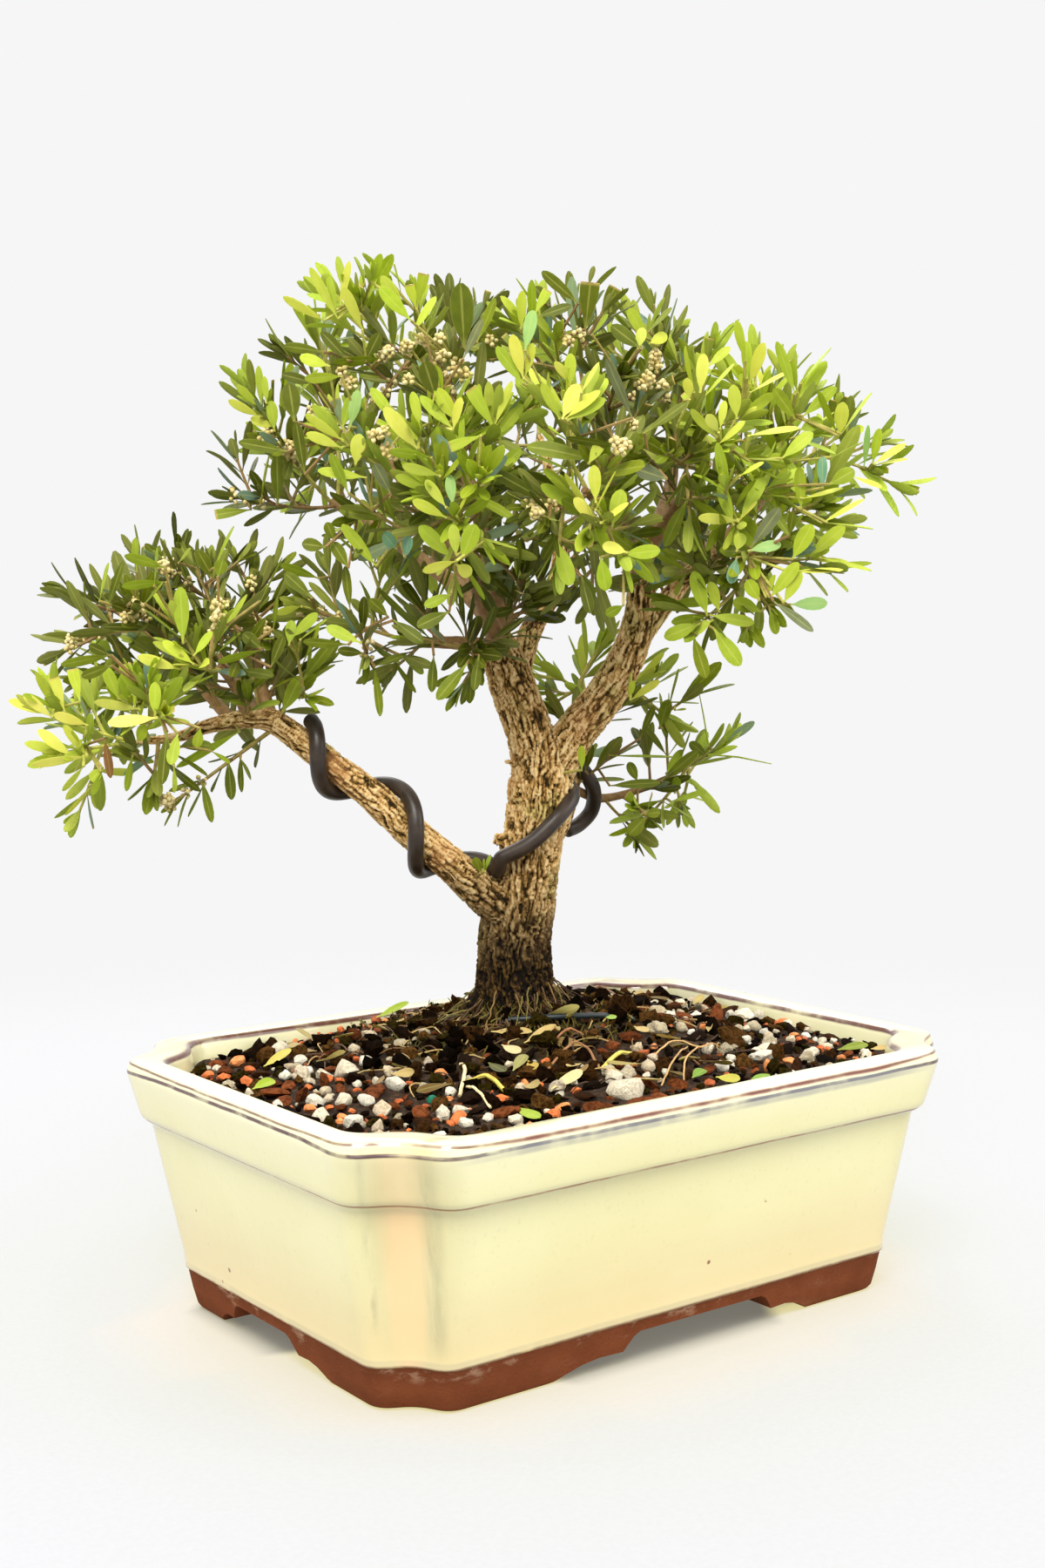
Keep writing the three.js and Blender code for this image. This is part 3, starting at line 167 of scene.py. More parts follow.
# Sprays by the limb they spring from: the end of each shoot, its age from 0 for pale new growth to 1
# for dark old leaves, and its habits
SPRAYS = {
    "top_left_bough": {"crown_01": ((-57, 28, 284, 0.15), (-49, 12, 282, 0.2)),
        "crown_03": ((-34, 25, 284, 0.35), (-43, 5, 255, 0.85, "buds")),
        "crown_04": ((-21, 30, 276, 0.9), (-15, 55, 281, 0.7))},
    "left_bough": {"crown_02": ((-66, 50, 281, 0.2), (-68, 40, 267, 0.8)),
        "crown_06": ((-80, 32, 254, 0.3), (-73, 26, 243, 0.8, "buds")),
        "crown_07": ((-86, 30, 229, 0.85, "buds"), (-75, 44, 233, 0.7))},
    "top_bough": {"crown_05": ((-2, 0, 274, 0.2), (-9, 15, 267, 0.6, "buds")),
        "crown_19": ((13, 45, 285, 0.8), (14, 28, 275, 0.8, "buds")),
        "crown_20": ((23, 0, 258, 0.8), (34, 5, 257, 0.85, "buds"))},
    "front_left_bough": {"crown_08": ((-52, -14, 241, 0.15), (-43, -8, 219, 0.5)),
        "crown_09": ((-30, -34, 239, 0.1), (-21, -26, 242, 0.15)),
        "crown_10": ((-11, -24, 244, 0.2), (-26, -8, 261, 0.9, "buds")),
        "crown_11": ((-14, -38, 229, 0.15), (-26, -30, 226, 0.15)),
        "crown_12": ((-20, -34, 218, 0.25), (-37, -18, 214, 0.6), (-22, -22, 206, 0.3))},
    "fringe_bough": {
        "crown_13": ((-62, 0, 196, 0.6, "buds"), (-43, -3, 205, 0.25), (-47, -8, 184, 0.6, "buds")),
        "crown_14": ((-18, -12, 183, 0.75), (-31, -10, 187, 0.65))},
    "front_bough": {"crown_15": ((2, -22, 245, 0.2), (9, -32, 247, 0.05)),
        "crown_16": ((14, -32, 216, 0.15), (22, -34, 210, 0.35), (16, 0, 199, 0.7)),
        "crown_17": ((0, -34, 222, 0.8, "buds"), (6, -28, 210, 0.4)),
        "crown_18": ((17, -38, 231, 0.5), (26, -8, 243, 0.8, "buds"))},
    "top_right_bough": {"crown_21": ((33, 52, 279, 0.3), (42, 60, 278, 0.6)),
        "rear_05": ((45, 85, 269, 0.4), (25, 80, 279, 0.4))},
    "front_right_bough": {"crown_22": ((47, 12, 261, 0.2), (50, -18, 239, 0.2)),
        "crown_23": ((57, -12, 230, 0.2), (54, -20, 217, 0.2)),
        "crown_24": ((36, -25, 236, 0.6), (42, -18, 218, 0.5))},
    "right_bough": {"crown_25": ((62, 18, 259, 0.1), (67, -8, 235, 0.2)),
        "crown_26": ((70, 32, 257, 0.25), (79, 42, 257, 0.3)),
        "crown_27": ((93, 52, 248, 0.3), (97, 28, 236, 0.3)),
        "crown_28": ((81, 10, 225, 0.3), (88, 32, 221, 0.35))},
    "right_fork": {"crown_29": ((76, 4, 209, 0.2), (60, -12, 212, 0.3)),
        "crown_30": ((65, 4, 197, 0.45), (47, -6, 192, 0.4)),
        "crown_31": ((55, 5, 205, 0.6), (40, -8, 205, 0.5))},
    "left_limb": {"crown_32": ((-4, -8, 203, 0.8), (1, 2, 196, 0.85))},
    "rear_limb": {"rear_01": ((-18, 98, 254, 0.5), (8, 98, 225, 0.5), (-4, 85, 213, 0.5)),
        "rear_02": ((3, 92, 281, 0.4), (23, 95, 267, 0.4))},
    "rear_left_bough": {"rear_03": ((-57, 85, 267, 0.5), (-71, 80, 236, 0.5), (-37, 85, 278, 0.5)),
        "rear_04": ((-38, 88, 214, 0.5), (-52, 98, 245, 0.5))},
    "rear_right_bough": {"rear_06": ((64, 85, 252, 0.4), (85, 75, 223, 0.4)),
        "rear_07": ((47, 82, 213, 0.5), (67, 76, 216, 0.5))},
    "left_branch": {"pad_01": ((-135, -10, 167, 0.05), (-131, 6, 167, 0.2)),
        "pad_02": ((-129, -16, 157, 0.05), (-126, 2, 149, 0.15)),
        "pad_03": ((-110, -22, 169, 0.1), (-102, -27, 167, 0.15)),
        "pad_09": ((-72, 14, 180, 0.3), (-66, 0, 171, 0.45)),
        "pad_10": ((-102, -8, 142, 0.55, "hanging", "buds"), (-107, -10, 150, 0.65))},
    "pad_front": {"pad_04": ((-93, -22, 181, 0.1), (-89, -6, 195, 0.75, "buds"))},
    "pad_left": {"pad_05": ((-112, -2, 196, 0.7, "buds"), (-132, 18, 188, 0.7, "buds")),
        "pad_06": ((-126, 26, 197, 0.8), (-115, 32, 205, 0.75))},
    "pad_middle": {"pad_07": ((-104, 10, 207, 0.8, "buds"), (-94, 20, 206, 0.75)),
        "pad_08": ((-84, 25, 202, 0.7, "buds"), (-77, 2, 189, 0.7, "buds"))},
    "pad_back": {"pad_11": ((-115, 55, 186, 0.5), (-96, 58, 191, 0.5), (-129, 45, 170, 0.4),
            (-129, 30, 178, 0.6))},
    "back_stem": {"back_01": ((4, 66, 177, 0.2), (7, 62, 167, 0.4), (20, 66, 183, 0.3)),
        "back_02": ((31, 62, 173, 0.1), (41, 62, 162, 0.35))},
    "back_twig": {"back_03": ((54, 60, 150, 0.3), (34, 58, 130, 0.3), (47, 70, 136, 0.25))},
}

# Wires
WIRE_RADIUS = 2.35
WIRE_TURNS = 2
WIRE_BITE = 0.1
WIRE_EASE = 0.08
WIRE_ON_BRANCH = ((-68.5, 5, 159), (-18, 17, 114))
WIRE_OVER_TRUNK = ((-10, 12.4, 123.6), (-2, 11.8, 127.8), (5, 13.4, 134), (9.2, 17.6, 138.6), (10.4, 23, 141),
    (9.4, 30, 143), (6.6, 36, 145.6), (5.8, 40, 148.6), (8.6, 42.6, 150), (13, 44, 148), (17.4, 47, 141),
    (17.2, 50.6, 134), (13.4, 51, 129.4), (9.4, 48, 127.8))
TIE_RADIUS = 0.9
TIE_ROUTE = ((-13, 8, -13), (-12, 8, -3), (-9, 7.4, 1.1), (-3, 6.6, 1.7), (5, 6.8, 2), (13, 9, 1.9),
    (21, 13, 1.4), (27, 17, 0.4), (29, 18, -3), (30, 18.6, -13))


# Frames, paths and meshes
def unit(vector):
    vector = np.asarray(vector, float)
    return vector / max(np.linalg.norm(vector), 1e-9)


def place(points):
    """From the tree's frame to the row's."""
    points = np.asarray(points, float)
    x, y, z = points[..., 0], points[..., 1], points[..., 2]
    return np.stack([x * math.cos(TURN) - y * math.sin(TURN), x * math.sin(TURN) + y * math.cos(TURN), z],
        -1) + POT_CENTRE


def in_tree_frame(points):
    """From the row's frame to the tree's."""
    x, y, z = np.moveaxis(np.asarray(points, float) - POT_CENTRE, -1, 0)
    return np.stack([x * math.cos(TURN) + y * math.sin(TURN), y * math.cos(TURN) - x * math.sin(TURN), z], -1)


def smooth_path(knots, steps):
    """A curve through points with a radius in the tree's frame, as points in the row's frame and radii."""
    knots = np.asarray(knots, float)
    padded = np.vstack([knots[:1], knots, knots[-1:]])
    spots = []
    for a, b, c, d in zip(padded, padded[1:], padded[2:], padded[3:]):
        for t in np.arange(steps) / steps:
            spots.append(0.5 * (2 * b + (c - a) * t + (2 * a - 5 * b + 4 * c - d) * t**2
                + (3 * b - a - 3 * c + d) * t**3))
    spots = np.array([*spots, knots[-1]])
    return place(spots[:, :3]), spots[:, 3]


def frames_along(points):
    """Tangent and two cross directions at each point, turned as little as possible."""
    along = np.gradient(points, axis=0)
    along /= np.linalg.norm(along, axis=1)[:, None]
    side = np.array([1.0, 0, 0]) if abs(along[0][0]) < 0.8 else np.array([0, 1.0, 0])
    sides = []
    for direction in along:
        side = unit(side - direction * (side @ direction))
        sides.append(side)
    sides = np.array(sides)
    return along, sides, np.cross(along, sides)


def skin(rings, sides):
    """Faces of a closed skin over rings, each ring counter-clockwise seen from the end."""
    faces = []
    for ring in range(rings - 1):
        for k in range(sides):
            a, b = ring * sides + k, ring * sides + (k + 1) % sides
            faces.append((a, b, b + sides, a + sides))
    last = (rings - 1) * sides
    return [*faces, tuple(range(sides))[::-1], tuple(range(last, last + sides))]


class Shape:
    """Points and faces, with the material slot of each face and the tone and mark of each point."""

    def __init__(self):
        self.points, self.faces, self.slots, self.tones, self.marks = [], [], [], [], []
        self.count = 0

    def add(self, points, faces, slot=0, tone=(1, 1, 1), mark=(0, 0, 0)):
        points = np.asarray(points, float)
        number = len(points)
        self.faces.extend([[i + self.count for i in face] for face in faces])
        self.slots.extend([slot] * len(faces) if isinstance(slot, int) else slot)
        self.points.append(points)
        self.tones.append(np.broadcast_to(tone, (number, 3)))
        self.marks.append(np.broadcast_to(mark, (number, 3)))
        self.count += number

    def tube(self, points, radii, sides, slot=0, tone=(1, 1, 1)):
        radii = np.broadcast_to(radii, len(points))
        _, side, up = frames_along(points)
        turns = np.arange(sides) / sides * 2 * math.pi
        ring = side[:, None] * np.cos(turns)[None, :, None] + up[:, None] * np.sin(turns)[None, :, None]
        rings = points[:, None] + ring * radii[:, None, None]
        self.add(rings.reshape(-1, 3), skin(len(points), sides), slot, tone)


def linked(name, data):
    made = bpy.data.objects.new(name, data)
    bpy.context.scene.collection.objects.link(made)
    return made


def make_mesh(name, points, faces, scale=MM):
    mesh = bpy.data.meshes.new(name)
    mesh.from_pydata((np.asarray(points) * scale).tolist(), [], faces)
    return mesh


def face_outwards(mesh):
    made = bmesh.new()
    made.from_mesh(mesh)
    bmesh.ops.recalc_face_normals(made, faces=made.faces)
    made.to_mesh(mesh)
    made.free()
    return mesh


def dress(mesh, materials, smooth_angle):
    for material in materials:
        mesh.materials.append(material)
    mesh.shade_smooth()
    mesh.set_sharp_from_angle(angle=math.radians(smooth_angle))


def show(name, mesh, replaces=()):
    """Shows a finished mesh as a piece of the object."""
    piece = linked(name, mesh)
    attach(piece, "root")
    if replaces:
        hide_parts(*replaces)


def paint(mesh, label, rows):
    """Keeps three numbers for each point, which the looks read."""
    values = np.ones((len(rows), 4), np.float32)
    values[:, :3] = rows
    mesh.attributes.new(label, "FLOAT_COLOR", "POINT").data.foreach_set("color", values.ravel())


def show_shape(name, shape, materials, replaces=(), smooth_angle=50):
    mesh = make_mesh(name, np.vstack(shape.points), shape.faces)
    dress(mesh, materials, smooth_angle)
    mesh.polygons.foreach_set("material_index", np.array(shape.slots, np.int32))
    paint(mesh, "tone", np.vstack(shape.tones))
    paint(mesh, "mark", np.vstack(shape.marks))
    show(name, mesh, replaces)


def evaluated(mesh, *modifiers):
    """The mesh with modifiers applied: each a type and its settings."""
    helper = linked("helper", mesh)
    for kind, settings in modifiers:
        modifier = helper.modifiers.new(kind, kind)
        for key, value in settings.items():
            setattr(modifier, key, value)
    graph = bpy.context.evaluated_depsgraph_get()
    made = bpy.data.meshes.new_from_object(helper.evaluated_get(graph))
    bpy.data.objects.remove(helper)
    return made


def coordinates(mesh, field="co", rows="vertices"):
    items = getattr(mesh, rows)
    values = np.empty(len(items) * 3, np.float32)
    items.foreach_get(field, values)
    return values.reshape(-1, 3).astype(float)


def smoothstep(value, low, high):
    part = np.clip((value - low) / (high - low), 0, 1)
    return part * part * (3 - 2 * part)


def noise_at(points):
    return np.array([noise.noise(point) for point in np.asarray(points).tolist()])


def shaken(points, reach, scale):
    """The points moved by smooth noise."""
    return points + reach * np.array([noise.noise_vector(point) for point in (points / scale).tolist()])


def lengths_along(points):
    return np.append(0, np.cumsum(np.linalg.norm(np.diff(points, axis=0), axis=1)))


def flat_unit(angle):
    return np.array([math.cos(angle), math.sin(angle), 0])


# Materials
def srgb(*levels):
    """Linear colour from 0 to 255 levels."""
    parts = [level / 255 for level in levels]
    return tuple(part / 12.92 if part <= 0.04045 else ((part + 0.055) / 1.055) ** 2.4 for part in parts)


class Term:
    """A value in a node graph. Sums with it add nodes."""

    def __init__(self, graph, socket):
        self.graph, self.socket = graph, socket

    def math(self, operation, *others):
        return self.graph.node("Math", dict(enumerate((self, *others))), operation=operation)

    def __add__(self, other):
        return self.math("ADD", other)

    def __sub__(self, other):
        return self.math("SUBTRACT", other)

    def __mul__(self, other):
        return self.math("MULTIPLY", other)

    def __truediv__(self, other):
        return self.math("DIVIDE", other)

    def __abs__(self):
        return self.math("ABSOLUTE")

    def max(self, other):
        return self.math("MAXIMUM", other)

    def span(self, low, high, to_low=0.0, to_high=1.0):
        """From low to high it becomes to_low to to_high, smoothly, and stays within them."""
        return self.graph.node("MapRange", {"Value": self, "From Min": low, "From Max": high,
            "To Min": to_low, "To Max": to_high}, "Result", interpolation_type="SMOOTHSTEP")

    def split(self, kind="SeparateXYZ"):
        return [Term(self.graph, socket) for socket in self.graph.add(kind, {0: self}).outputs[:3]]


class Graph:
    """The nodes of a material or a world."""

    def __init__(self, owner):
        owner.use_nodes = True
        self.tree = owner.node_tree

    def plug(self, socket, value):
        if isinstance(value, Term):
            self.tree.links.new(value.socket, socket)
        elif socket.type == "RGBA" and len(value) == 3:
            socket.default_value = (*value, 1)
        else:
            socket.default_value = value

    def add(self, kind, inputs=(), **settings):
        made = self.tree.nodes.new("ShaderNode" + kind)
        for key, value in settings.items():
            setattr(made, key, value)
        for key, value in dict(inputs).items():
            self.plug(made.inputs[key], value)
        return made

    def node(self, kind, inputs=(), output=0, **settings):
        return Term(self, self.add(kind, inputs, **settings).outputs[output])


class Look(Graph):
    """A material's node graph."""

    def __init__(self, name, roughness=0.5):
        self.material = bpy.data.materials.new(name)
        super().__init__(self.material)
        self.shader = self.tree.nodes["Principled BSDF"]
        self.set(Roughness=roughness)
        self.place = self.node("TexCoord", output="Object")

    def set(self, **values):
        for key, value in values.items():
            self.plug(self.shader.inputs[key.replace("_", " ")], value)

    def attribute(self, name, output="Color"):
        return self.node("Attribute", output=output, attribute_name=name)

    def stretched(self, scale, vector=None):
        return self.node("Mapping", {"Vector": vector or self.place, "Scale": scale})

    def noise(self, scale, detail=3.0, roughness=0.55, vector=None):
        """Noise with features of 1/scale metres."""
        return self.node("TexNoise", {"Vector": vector or self.place, "Scale": scale, "Detail": detail,
            "Roughness": roughness}, "Fac")

    def swing(self, reach, *noise):
        """Noise round zero."""
        return (self.noise(*noise) - 0.5) * reach

    def mix(self, part, a, b, blend="MIX"):
        return self.node("Mix", {0: part, 6: a, 7: b}, 2, data_type="RGBA", blend_type=blend)

    def layers(self, colour, *coats):
        """Colours laid over another, each as far as its part says."""
        for part, coat in coats:
            colour = self.mix(part, colour, coat)
        return colour

    def ramp(self, value, *stops):
        made = self.add("ValToRGB", {0: value})
        elements = made.color_ramp.elements
        while len(elements) < len(stops):
            elements.new(0.5)
        for element, (at, colour) in zip(elements, stops):
            element.position, element.color = at, (*colour, 1)
        return Term(self, made.outputs[0])

    def bump(self, height, distance, strength=1.0):
        self.set(Normal=self.node("Bump", {"Height": height, "Distance": distance, "Strength": strength}))

    def blend(self, part, other):
        """Mixes another shader into the surface."""
        mixed = self.node("MixShader", {0: part, 1: Term(self, self.shader.outputs[0]), 2: other})
        self.plug(self.tree.nodes["Material Output"].inputs["Surface"], mixed)


def leaf_look(name, underside):
    look = Look(name, roughness=0.55 if underside else 0.42)
    tone = look.attribute("tone")
    along, across, _ = look.attribute("mark").split("SeparateColor")
    off_rib = abs(across * 2.0 - 1.0)
    pale = look.mix(0.5, tone, srgb(222, 220, 116))
    vein = (along * 85.0 + off_rib * -26.0).math("SINE")
    colour = look.layers(tone,
        (look.noise(330.0, 4.0).span(0.35, 0.7, 0.0, 0.28), look.mix(1.0, tone, tone, "MULTIPLY")),
        (vein.span(0.2, 1.0, 0.0, 0.14), pale),
        (off_rib.span(0.86, 1.0) * 0.3, pale),
        (off_rib.span(0.03, 0.16, 1.0, 0.0) * 0.55, pale),
        (along.span(0.02, 0.22, 1.0, 0.0) * 0.6, pale))
    if underside:
        colour = look.mix(0.3, colour, srgb(186, 188, 108))
    look.set(Base_Color=colour, Specular_IOR_Level=0.13 if underside else 0.21)
    look.bump(vein * 0.3 + look.noise(900.0, 2.0), 0.00012, 0.35)
    glow = look.mix(0.25, look.mix(1.0, tone, (1.0, 1.0, 0.5), "MULTIPLY"), srgb(214, 218, 52))
    look.blend(0.36, look.node("BsdfTranslucent", {"Color": glow}))
    return look.material


def toned_look(name, roughness, grain, depth, dark=0.55, specular=0.4):
    """Each grain, twig or bud has its own tone, mottled and rough."""
    look = Look(name, roughness)
    tone = look.attribute("tone")
    mottle = look.noise(grain, 5.0, 0.65)
    # The darker tone lies where the bump is low: partly the grain's own mottle, partly painted shade in its
    # pits
    shade = look.mix(1.0, tone, (dark, dark, dark * 0.94), "MULTIPLY")
    look.set(Base_Color=look.mix(mottle.span(0.36, 0.6), shade, tone), Specular_IOR_Level=specular)
    look.bump(mottle + look.noise(grain * 3.3, 3.0) * 0.5, depth)
    return look.material


def bark_look():
    """Corky tan ridges over dark cracks. The mark holds the relief and the height up the tree."""
    look = Look("cork_bark", roughness=0.9)
    relief, height, _ = look.attribute("mark").split("SeparateColor")
    grain = look.attribute("grain", "Vector")
    strands = look.noise(1000.0, 6.0, 0.74, look.stretched((1.0, 1.0, 0.28), grain))
    worn = relief + (strands - 0.5) * 1.7
    tan = look.ramp(worn, (0.0, srgb(38, 28, 10)), (0.22, srgb(102, 76, 34)), (0.42, srgb(168, 128, 70)),
        (0.66, srgb(208, 168, 108)), (0.95, srgb(238, 210, 154)))
    olive = look.ramp(worn, (0.05, srgb(38, 34, 10)), (0.4, srgb(112, 100, 44)), (0.9, srgb(190, 172, 94)))
    dark = look.ramp(worn, (0.1, srgb(8, 4, 0)), (0.45, srgb(24, 14, 4)), (0.75, srgb(48, 33, 10)),
        (1.0, srgb(84, 62, 26)))
    # darker towards the trunk's foot
    foot_darkening = height + look.swing(0.35, 90.0)
    tan = look.layers(tan, (look.noise(85.0, 3.0).span(0.5, 0.68, 0.0, 0.6), olive),
        (look.noise(60.0, 2.0).span(0.55, 0.75, 0.0, 0.35), srgb(192, 134, 86)),
        (foot_darkening.span(0.3, 1.0, 1.0, 0.0), dark))
    look.set(Base_Color=tan, Specular_IOR_Level=0.15)
    look.bump(strands, 0.0009)
    return look.material


def wire_look(name, colour, glint):
    look = Look(name)
    # Patches of the lighter glint colour are a painted glint; the same noise varies the roughness as wear
    wear_and_glint = look.noise(160.0, 4.0)
    look.set(Base_Color=look.mix(wear_and_glint.span(0.4, 0.7), colour, glint),
        Roughness=wear_and_glint.span(0.3, 0.7, 0.32, 0.48), Specular_IOR_Level=0.36)
    look.bump(look.noise(900.0, 2.0), 0.00006, 0.5)
    return look.material


RIM_CHIP = (1073, 1187)
INNER_EDGE = (95.1, 69.7)
INNER_CORNER = 14
# Runs of thick glaze on both sides of a scoop: place, reach, foot and top in metres, and strength
GLAZE_RUNS = ((-0.0122, 0.0028, 0.018, 0.044, 0.85), (0.0102, 0.0056, 0.012, 0.060, 0.38))


def glaze_look():
    """Cream glaze, thin and brown over the edges, run thick and blue-grey beside each corner's scoop."""
    look = Look("cream_glaze", roughness=0.2)
    x, y, z = look.place.split()
    x, y = abs(x - POT_CENTRE[0] * MM), abs(y - POT_CENTRE[1] * MM)
    slope = (BODY_TOP_HALF[0] - BASE_HALF[0]) / BODY_TOP_Z
    out_x, out_y = (z * slope + half * MM - at for half, at in zip(BASE_HALF, (x, y)))
    at_corner = (out_x + out_y).span(0.030, 0.040, 1.0, 0.0)
    wander = look.swing(0.004, 34.0, 2.0)
    off_middle = abs(out_x - out_y) + wander
    beside = out_x - out_y + wander
    runs = look.noise(110.0, 5.0, 0.65, look.stretched((1.0, 1.0, 0.1)))
    haze = look.noise(45.0, 3.0, 0.6, look.stretched((1.0, 1.0, 0.4))).span(0.25, 0.7, 0.3, 1.0)
    narrowed = off_middle / z.span(0.012, 0.045, 0.6, 1.0)
    cream = look.mix(look.noise(18.0, 3.0).span(0.3, 0.7), srgb(212, 206, 154), srgb(216, 211, 163))
    cream = look.layers(cream,
        (look.noise(700.0, 2.0).span(0.56, 0.8, 0.0, 0.25), srgb(194, 180, 131)),
        # darker towards the foot: painted shade
        (z.span(0.012, 0.045, 0.6, 0.0), srgb(208, 184, 136)),
        (z.span(0.056, 0.071, 0.0, 0.6), srgb(221, 218, 184)),
        (off_middle.span(0.005, 0.028, 1.0, 0.0) * at_corner * haze * z.span(0.02, 0.05, 0.4, 0.8),
            srgb(180, 168, 118)),
        (narrowed.span(0.002, 0.012, 0.62, 0.0) * at_corner * z.span(0.050, 0.056, 1.0, 0.45),
            srgb(232, 192, 140)))
    for at, reach, low, high, strength in GLAZE_RUNS:
        part = abs(beside - at).span(0.0, reach, strength, 0.0) * at_corner * runs.span(0.36, 0.64)
        part = part * z.span(low, low + 0.012) * z.span(high, high + 0.006, 1.0, 0.25)
        cream = look.mix(part, cream, srgb(98, 104, 84))
    waver = z + look.swing(0.0007, 55.0, 3.0)

    def line(height, at, width, strength):
        """Where a thin line runs round the pot."""
        near = abs(height - at * MM).span(width * MM * 0.35, width * MM, 1.0, 0.0)
        return near * look.noise(75.0, 3.0, 0.6).span(0.25, 0.55, 0.35, 1.0) * strength

    past_x, past_y = x - INNER_EDGE[0] * MM, y - INNER_EDGE[1] * MM
    outside = past_x.max(past_y).max(past_x + past_y + INNER_CORNER * MM).span(0.0, 0.0004)
    long_side = outside * beside.span(0.014, 0.045)
    short_side = beside.span(-0.045, -0.014, 1.0, 0.0)
    upper = waver + (long_side * 0.001 + short_side * 0.0004)
    lower = waver - short_side * 0.0008
    cream = look.layers(cream,
        (line(waver, 66.8, 1.5, long_side * 0.75), srgb(156, 154, 142)),
        (line(lower, 67.7, 0.7, outside), look.mix(long_side, srgb(72, 44, 44), srgb(104, 102, 106))),
        (line(upper, 70.3, 0.95, long_side), srgb(148, 108, 94)),
        (line(upper, 70.3, 0.45, outside * 0.9), srgb(96, 56, 40)))
    cream = look.mix(outside, look.mix(line(waver, 70.1, 1.1, 1.0), cream, srgb(92, 54, 42)), cream)
    pinholes = look.node("TexVoronoi", {"Vector": look.place, "Scale": 130.0}, "Distance")
    rare = look.noise(30.0, 1.0).span(0.64, 0.67)
    chip = look.node("VectorMath", {0: look.place, 1: seen_above(RIM_CHIP, POT_HEIGHT - 0.6) * MM}, "Value",
        operation="DISTANCE")
    cream = look.layers(cream,
        (line(waver, 54.5, 0.5, 0.95), srgb(124, 68, 30)),
        (line(waver, 12.9, 1.2, 0.4), srgb(160, 152, 126)),
        (line(waver, 11.7, 0.8, 0.85), srgb(96, 60, 40)),
        (pinholes.span(0.07, 0.11, 1.0, 0.0) * rare * 0.9, srgb(122, 70, 38)),
        (chip.span(0.0007, 0.0016, 0.85, 0.0), srgb(150, 108, 84)))
    look.set(Base_Color=cream, Coat_Weight=0.6, Coat_Roughness=0.06)
    look.bump(look.noise(60.0, 2.0) + runs * 0.4, 0.0008, 0.25)
    return look.material


def clay_look():
    """Bare red-brown stoneware with pale scuffs."""
    look = Look("bare_clay", roughness=0.92)
    scuff, grit = look.noise(70.0, 6.0, 0.7, look.stretched((1.0, 1.0, 2.2))), look.noise(1400.0, 2.0)
    near_glaze = look.place.split()[2].span(0.006, 0.0115, 0.04, 0.7)
    body = look.layers(look.mix(look.noise(120.0, 4.0), srgb(90, 46, 25), srgb(122, 68, 42)),
        (scuff.span(0.54, 0.68) * near_glaze, srgb(178, 148, 122)),
        (grit.span(0.62, 0.75, 0.0, 0.5), srgb(74, 42, 30)))
    look.set(Base_Color=body, Specular_IOR_Level=0.06)
    look.bump(grit + scuff, 0.0003, 0.5)
    return look.material


def soil_look():
    look = Look("dark_soil", roughness=0.95)
    crumb = look.noise(520.0, 6.0, 0.7)
    near_foot = look.attribute("mark").split("SeparateColor")[0]
    mossy = look.noise(45.0, 3.0).span(0.45, 0.68, 0.0, 0.8) * near_foot
    earth = look.ramp(crumb, (0.3, srgb(18, 12, 6)), (0.52, srgb(48, 33, 20)), (0.75, srgb(96, 68, 42)))
    look.set(Base_Color=look.mix(mossy, earth, srgb(70, 66, 18)), Specular_IOR_Level=0.2)
    look.bump(crumb, 0.0012)
    return look.material


def screen_look():
    look = Look("black_mesh", roughness=0.6)
    look.set(Base_Color=look.mix(look.noise(200.0, 3.0), srgb(20, 20, 20), srgb(46, 44, 42)))
    look.bump(look.noise(900.0), 0.0001)
    return look.material


# Camera
def camera_axes():
    """Right, up and back of the camera."""
    a, e, r = (math.radians(angle) for angle in (CAMERA_AZIMUTH, CAMERA_ELEVATION, CAMERA_ROLL))
    back = np.array([math.sin(a) * math.cos(e), -math.cos(a) * math.cos(e), math.sin(e)])
    right = np.array([math.cos(a), math.sin(a), 0])
    up = np.cross(back, right)
    return right * math.cos(r) + up * math.sin(r), up * math.cos(r) - right * math.sin(r), back


CAMERA_AT = np.array(CAMERA_SPOT) + POT_CENTRE


def make_camera():
    data = bpy.data.cameras.new("camera")
    data.lens = CAMERA_LENS
    data.sensor_width = SENSOR
    data.clip_start, data.clip_end = CLIP
    camera = bpy.context.scene.camera = linked("camera", data)
    turned = Matrix(camera_axes()).transposed().to_4x4()
    camera.matrix_world = Matrix.Translation(Vector(CAMERA_AT * MM)) @ turned


def seen_ray(pixel):
    """Direction from the camera through a pixel of the photograph."""
    right, up, back = camera_axes()
    focal = CAMERA_LENS / SENSOR * PHOTO_SIZE[1]
    x, y = pixel[0] - PHOTO_SIZE[0] / 2, PHOTO_SIZE[1] / 2 - pixel[1]
    return unit(right * x + up * y - back * focal)


def seen_on_soil(pixel, over=0.0):
    """The point of the soil's surface that a pixel of the photograph shows."""
    ray, z = seen_ray(pixel), SOIL_EDGE_Z
    for _ in range(SOIL_ROUNDS):
        point = CAMERA_AT + ray * ((z - CAMERA_AT[2]) / ray[2])
        z = 0.5 * (z + soil_height(point)) + 0.5 * over
    return np.array([point[0], point[1], soil_height(point) + over])


def seen_above(pixel, z):
    """The point at a height that a pixel shows."""
    ray = seen_ray(pixel)
    return CAMERA_AT + ray * ((z - CAMERA_AT[2]) / ray[2])


def seen_at(pixel, depth):
    """The point that a pixel shows, depth millimetres beyond the pot's middle, in the tree's y."""
    ray = seen_ray(pixel)
    base, step = in_tree_frame(CAMERA_AT), in_tree_frame(CAMERA_AT + ray) - in_tree_frame(CAMERA_AT)
    return CAMERA_AT + ray * ((depth - base[1]) / step[1])


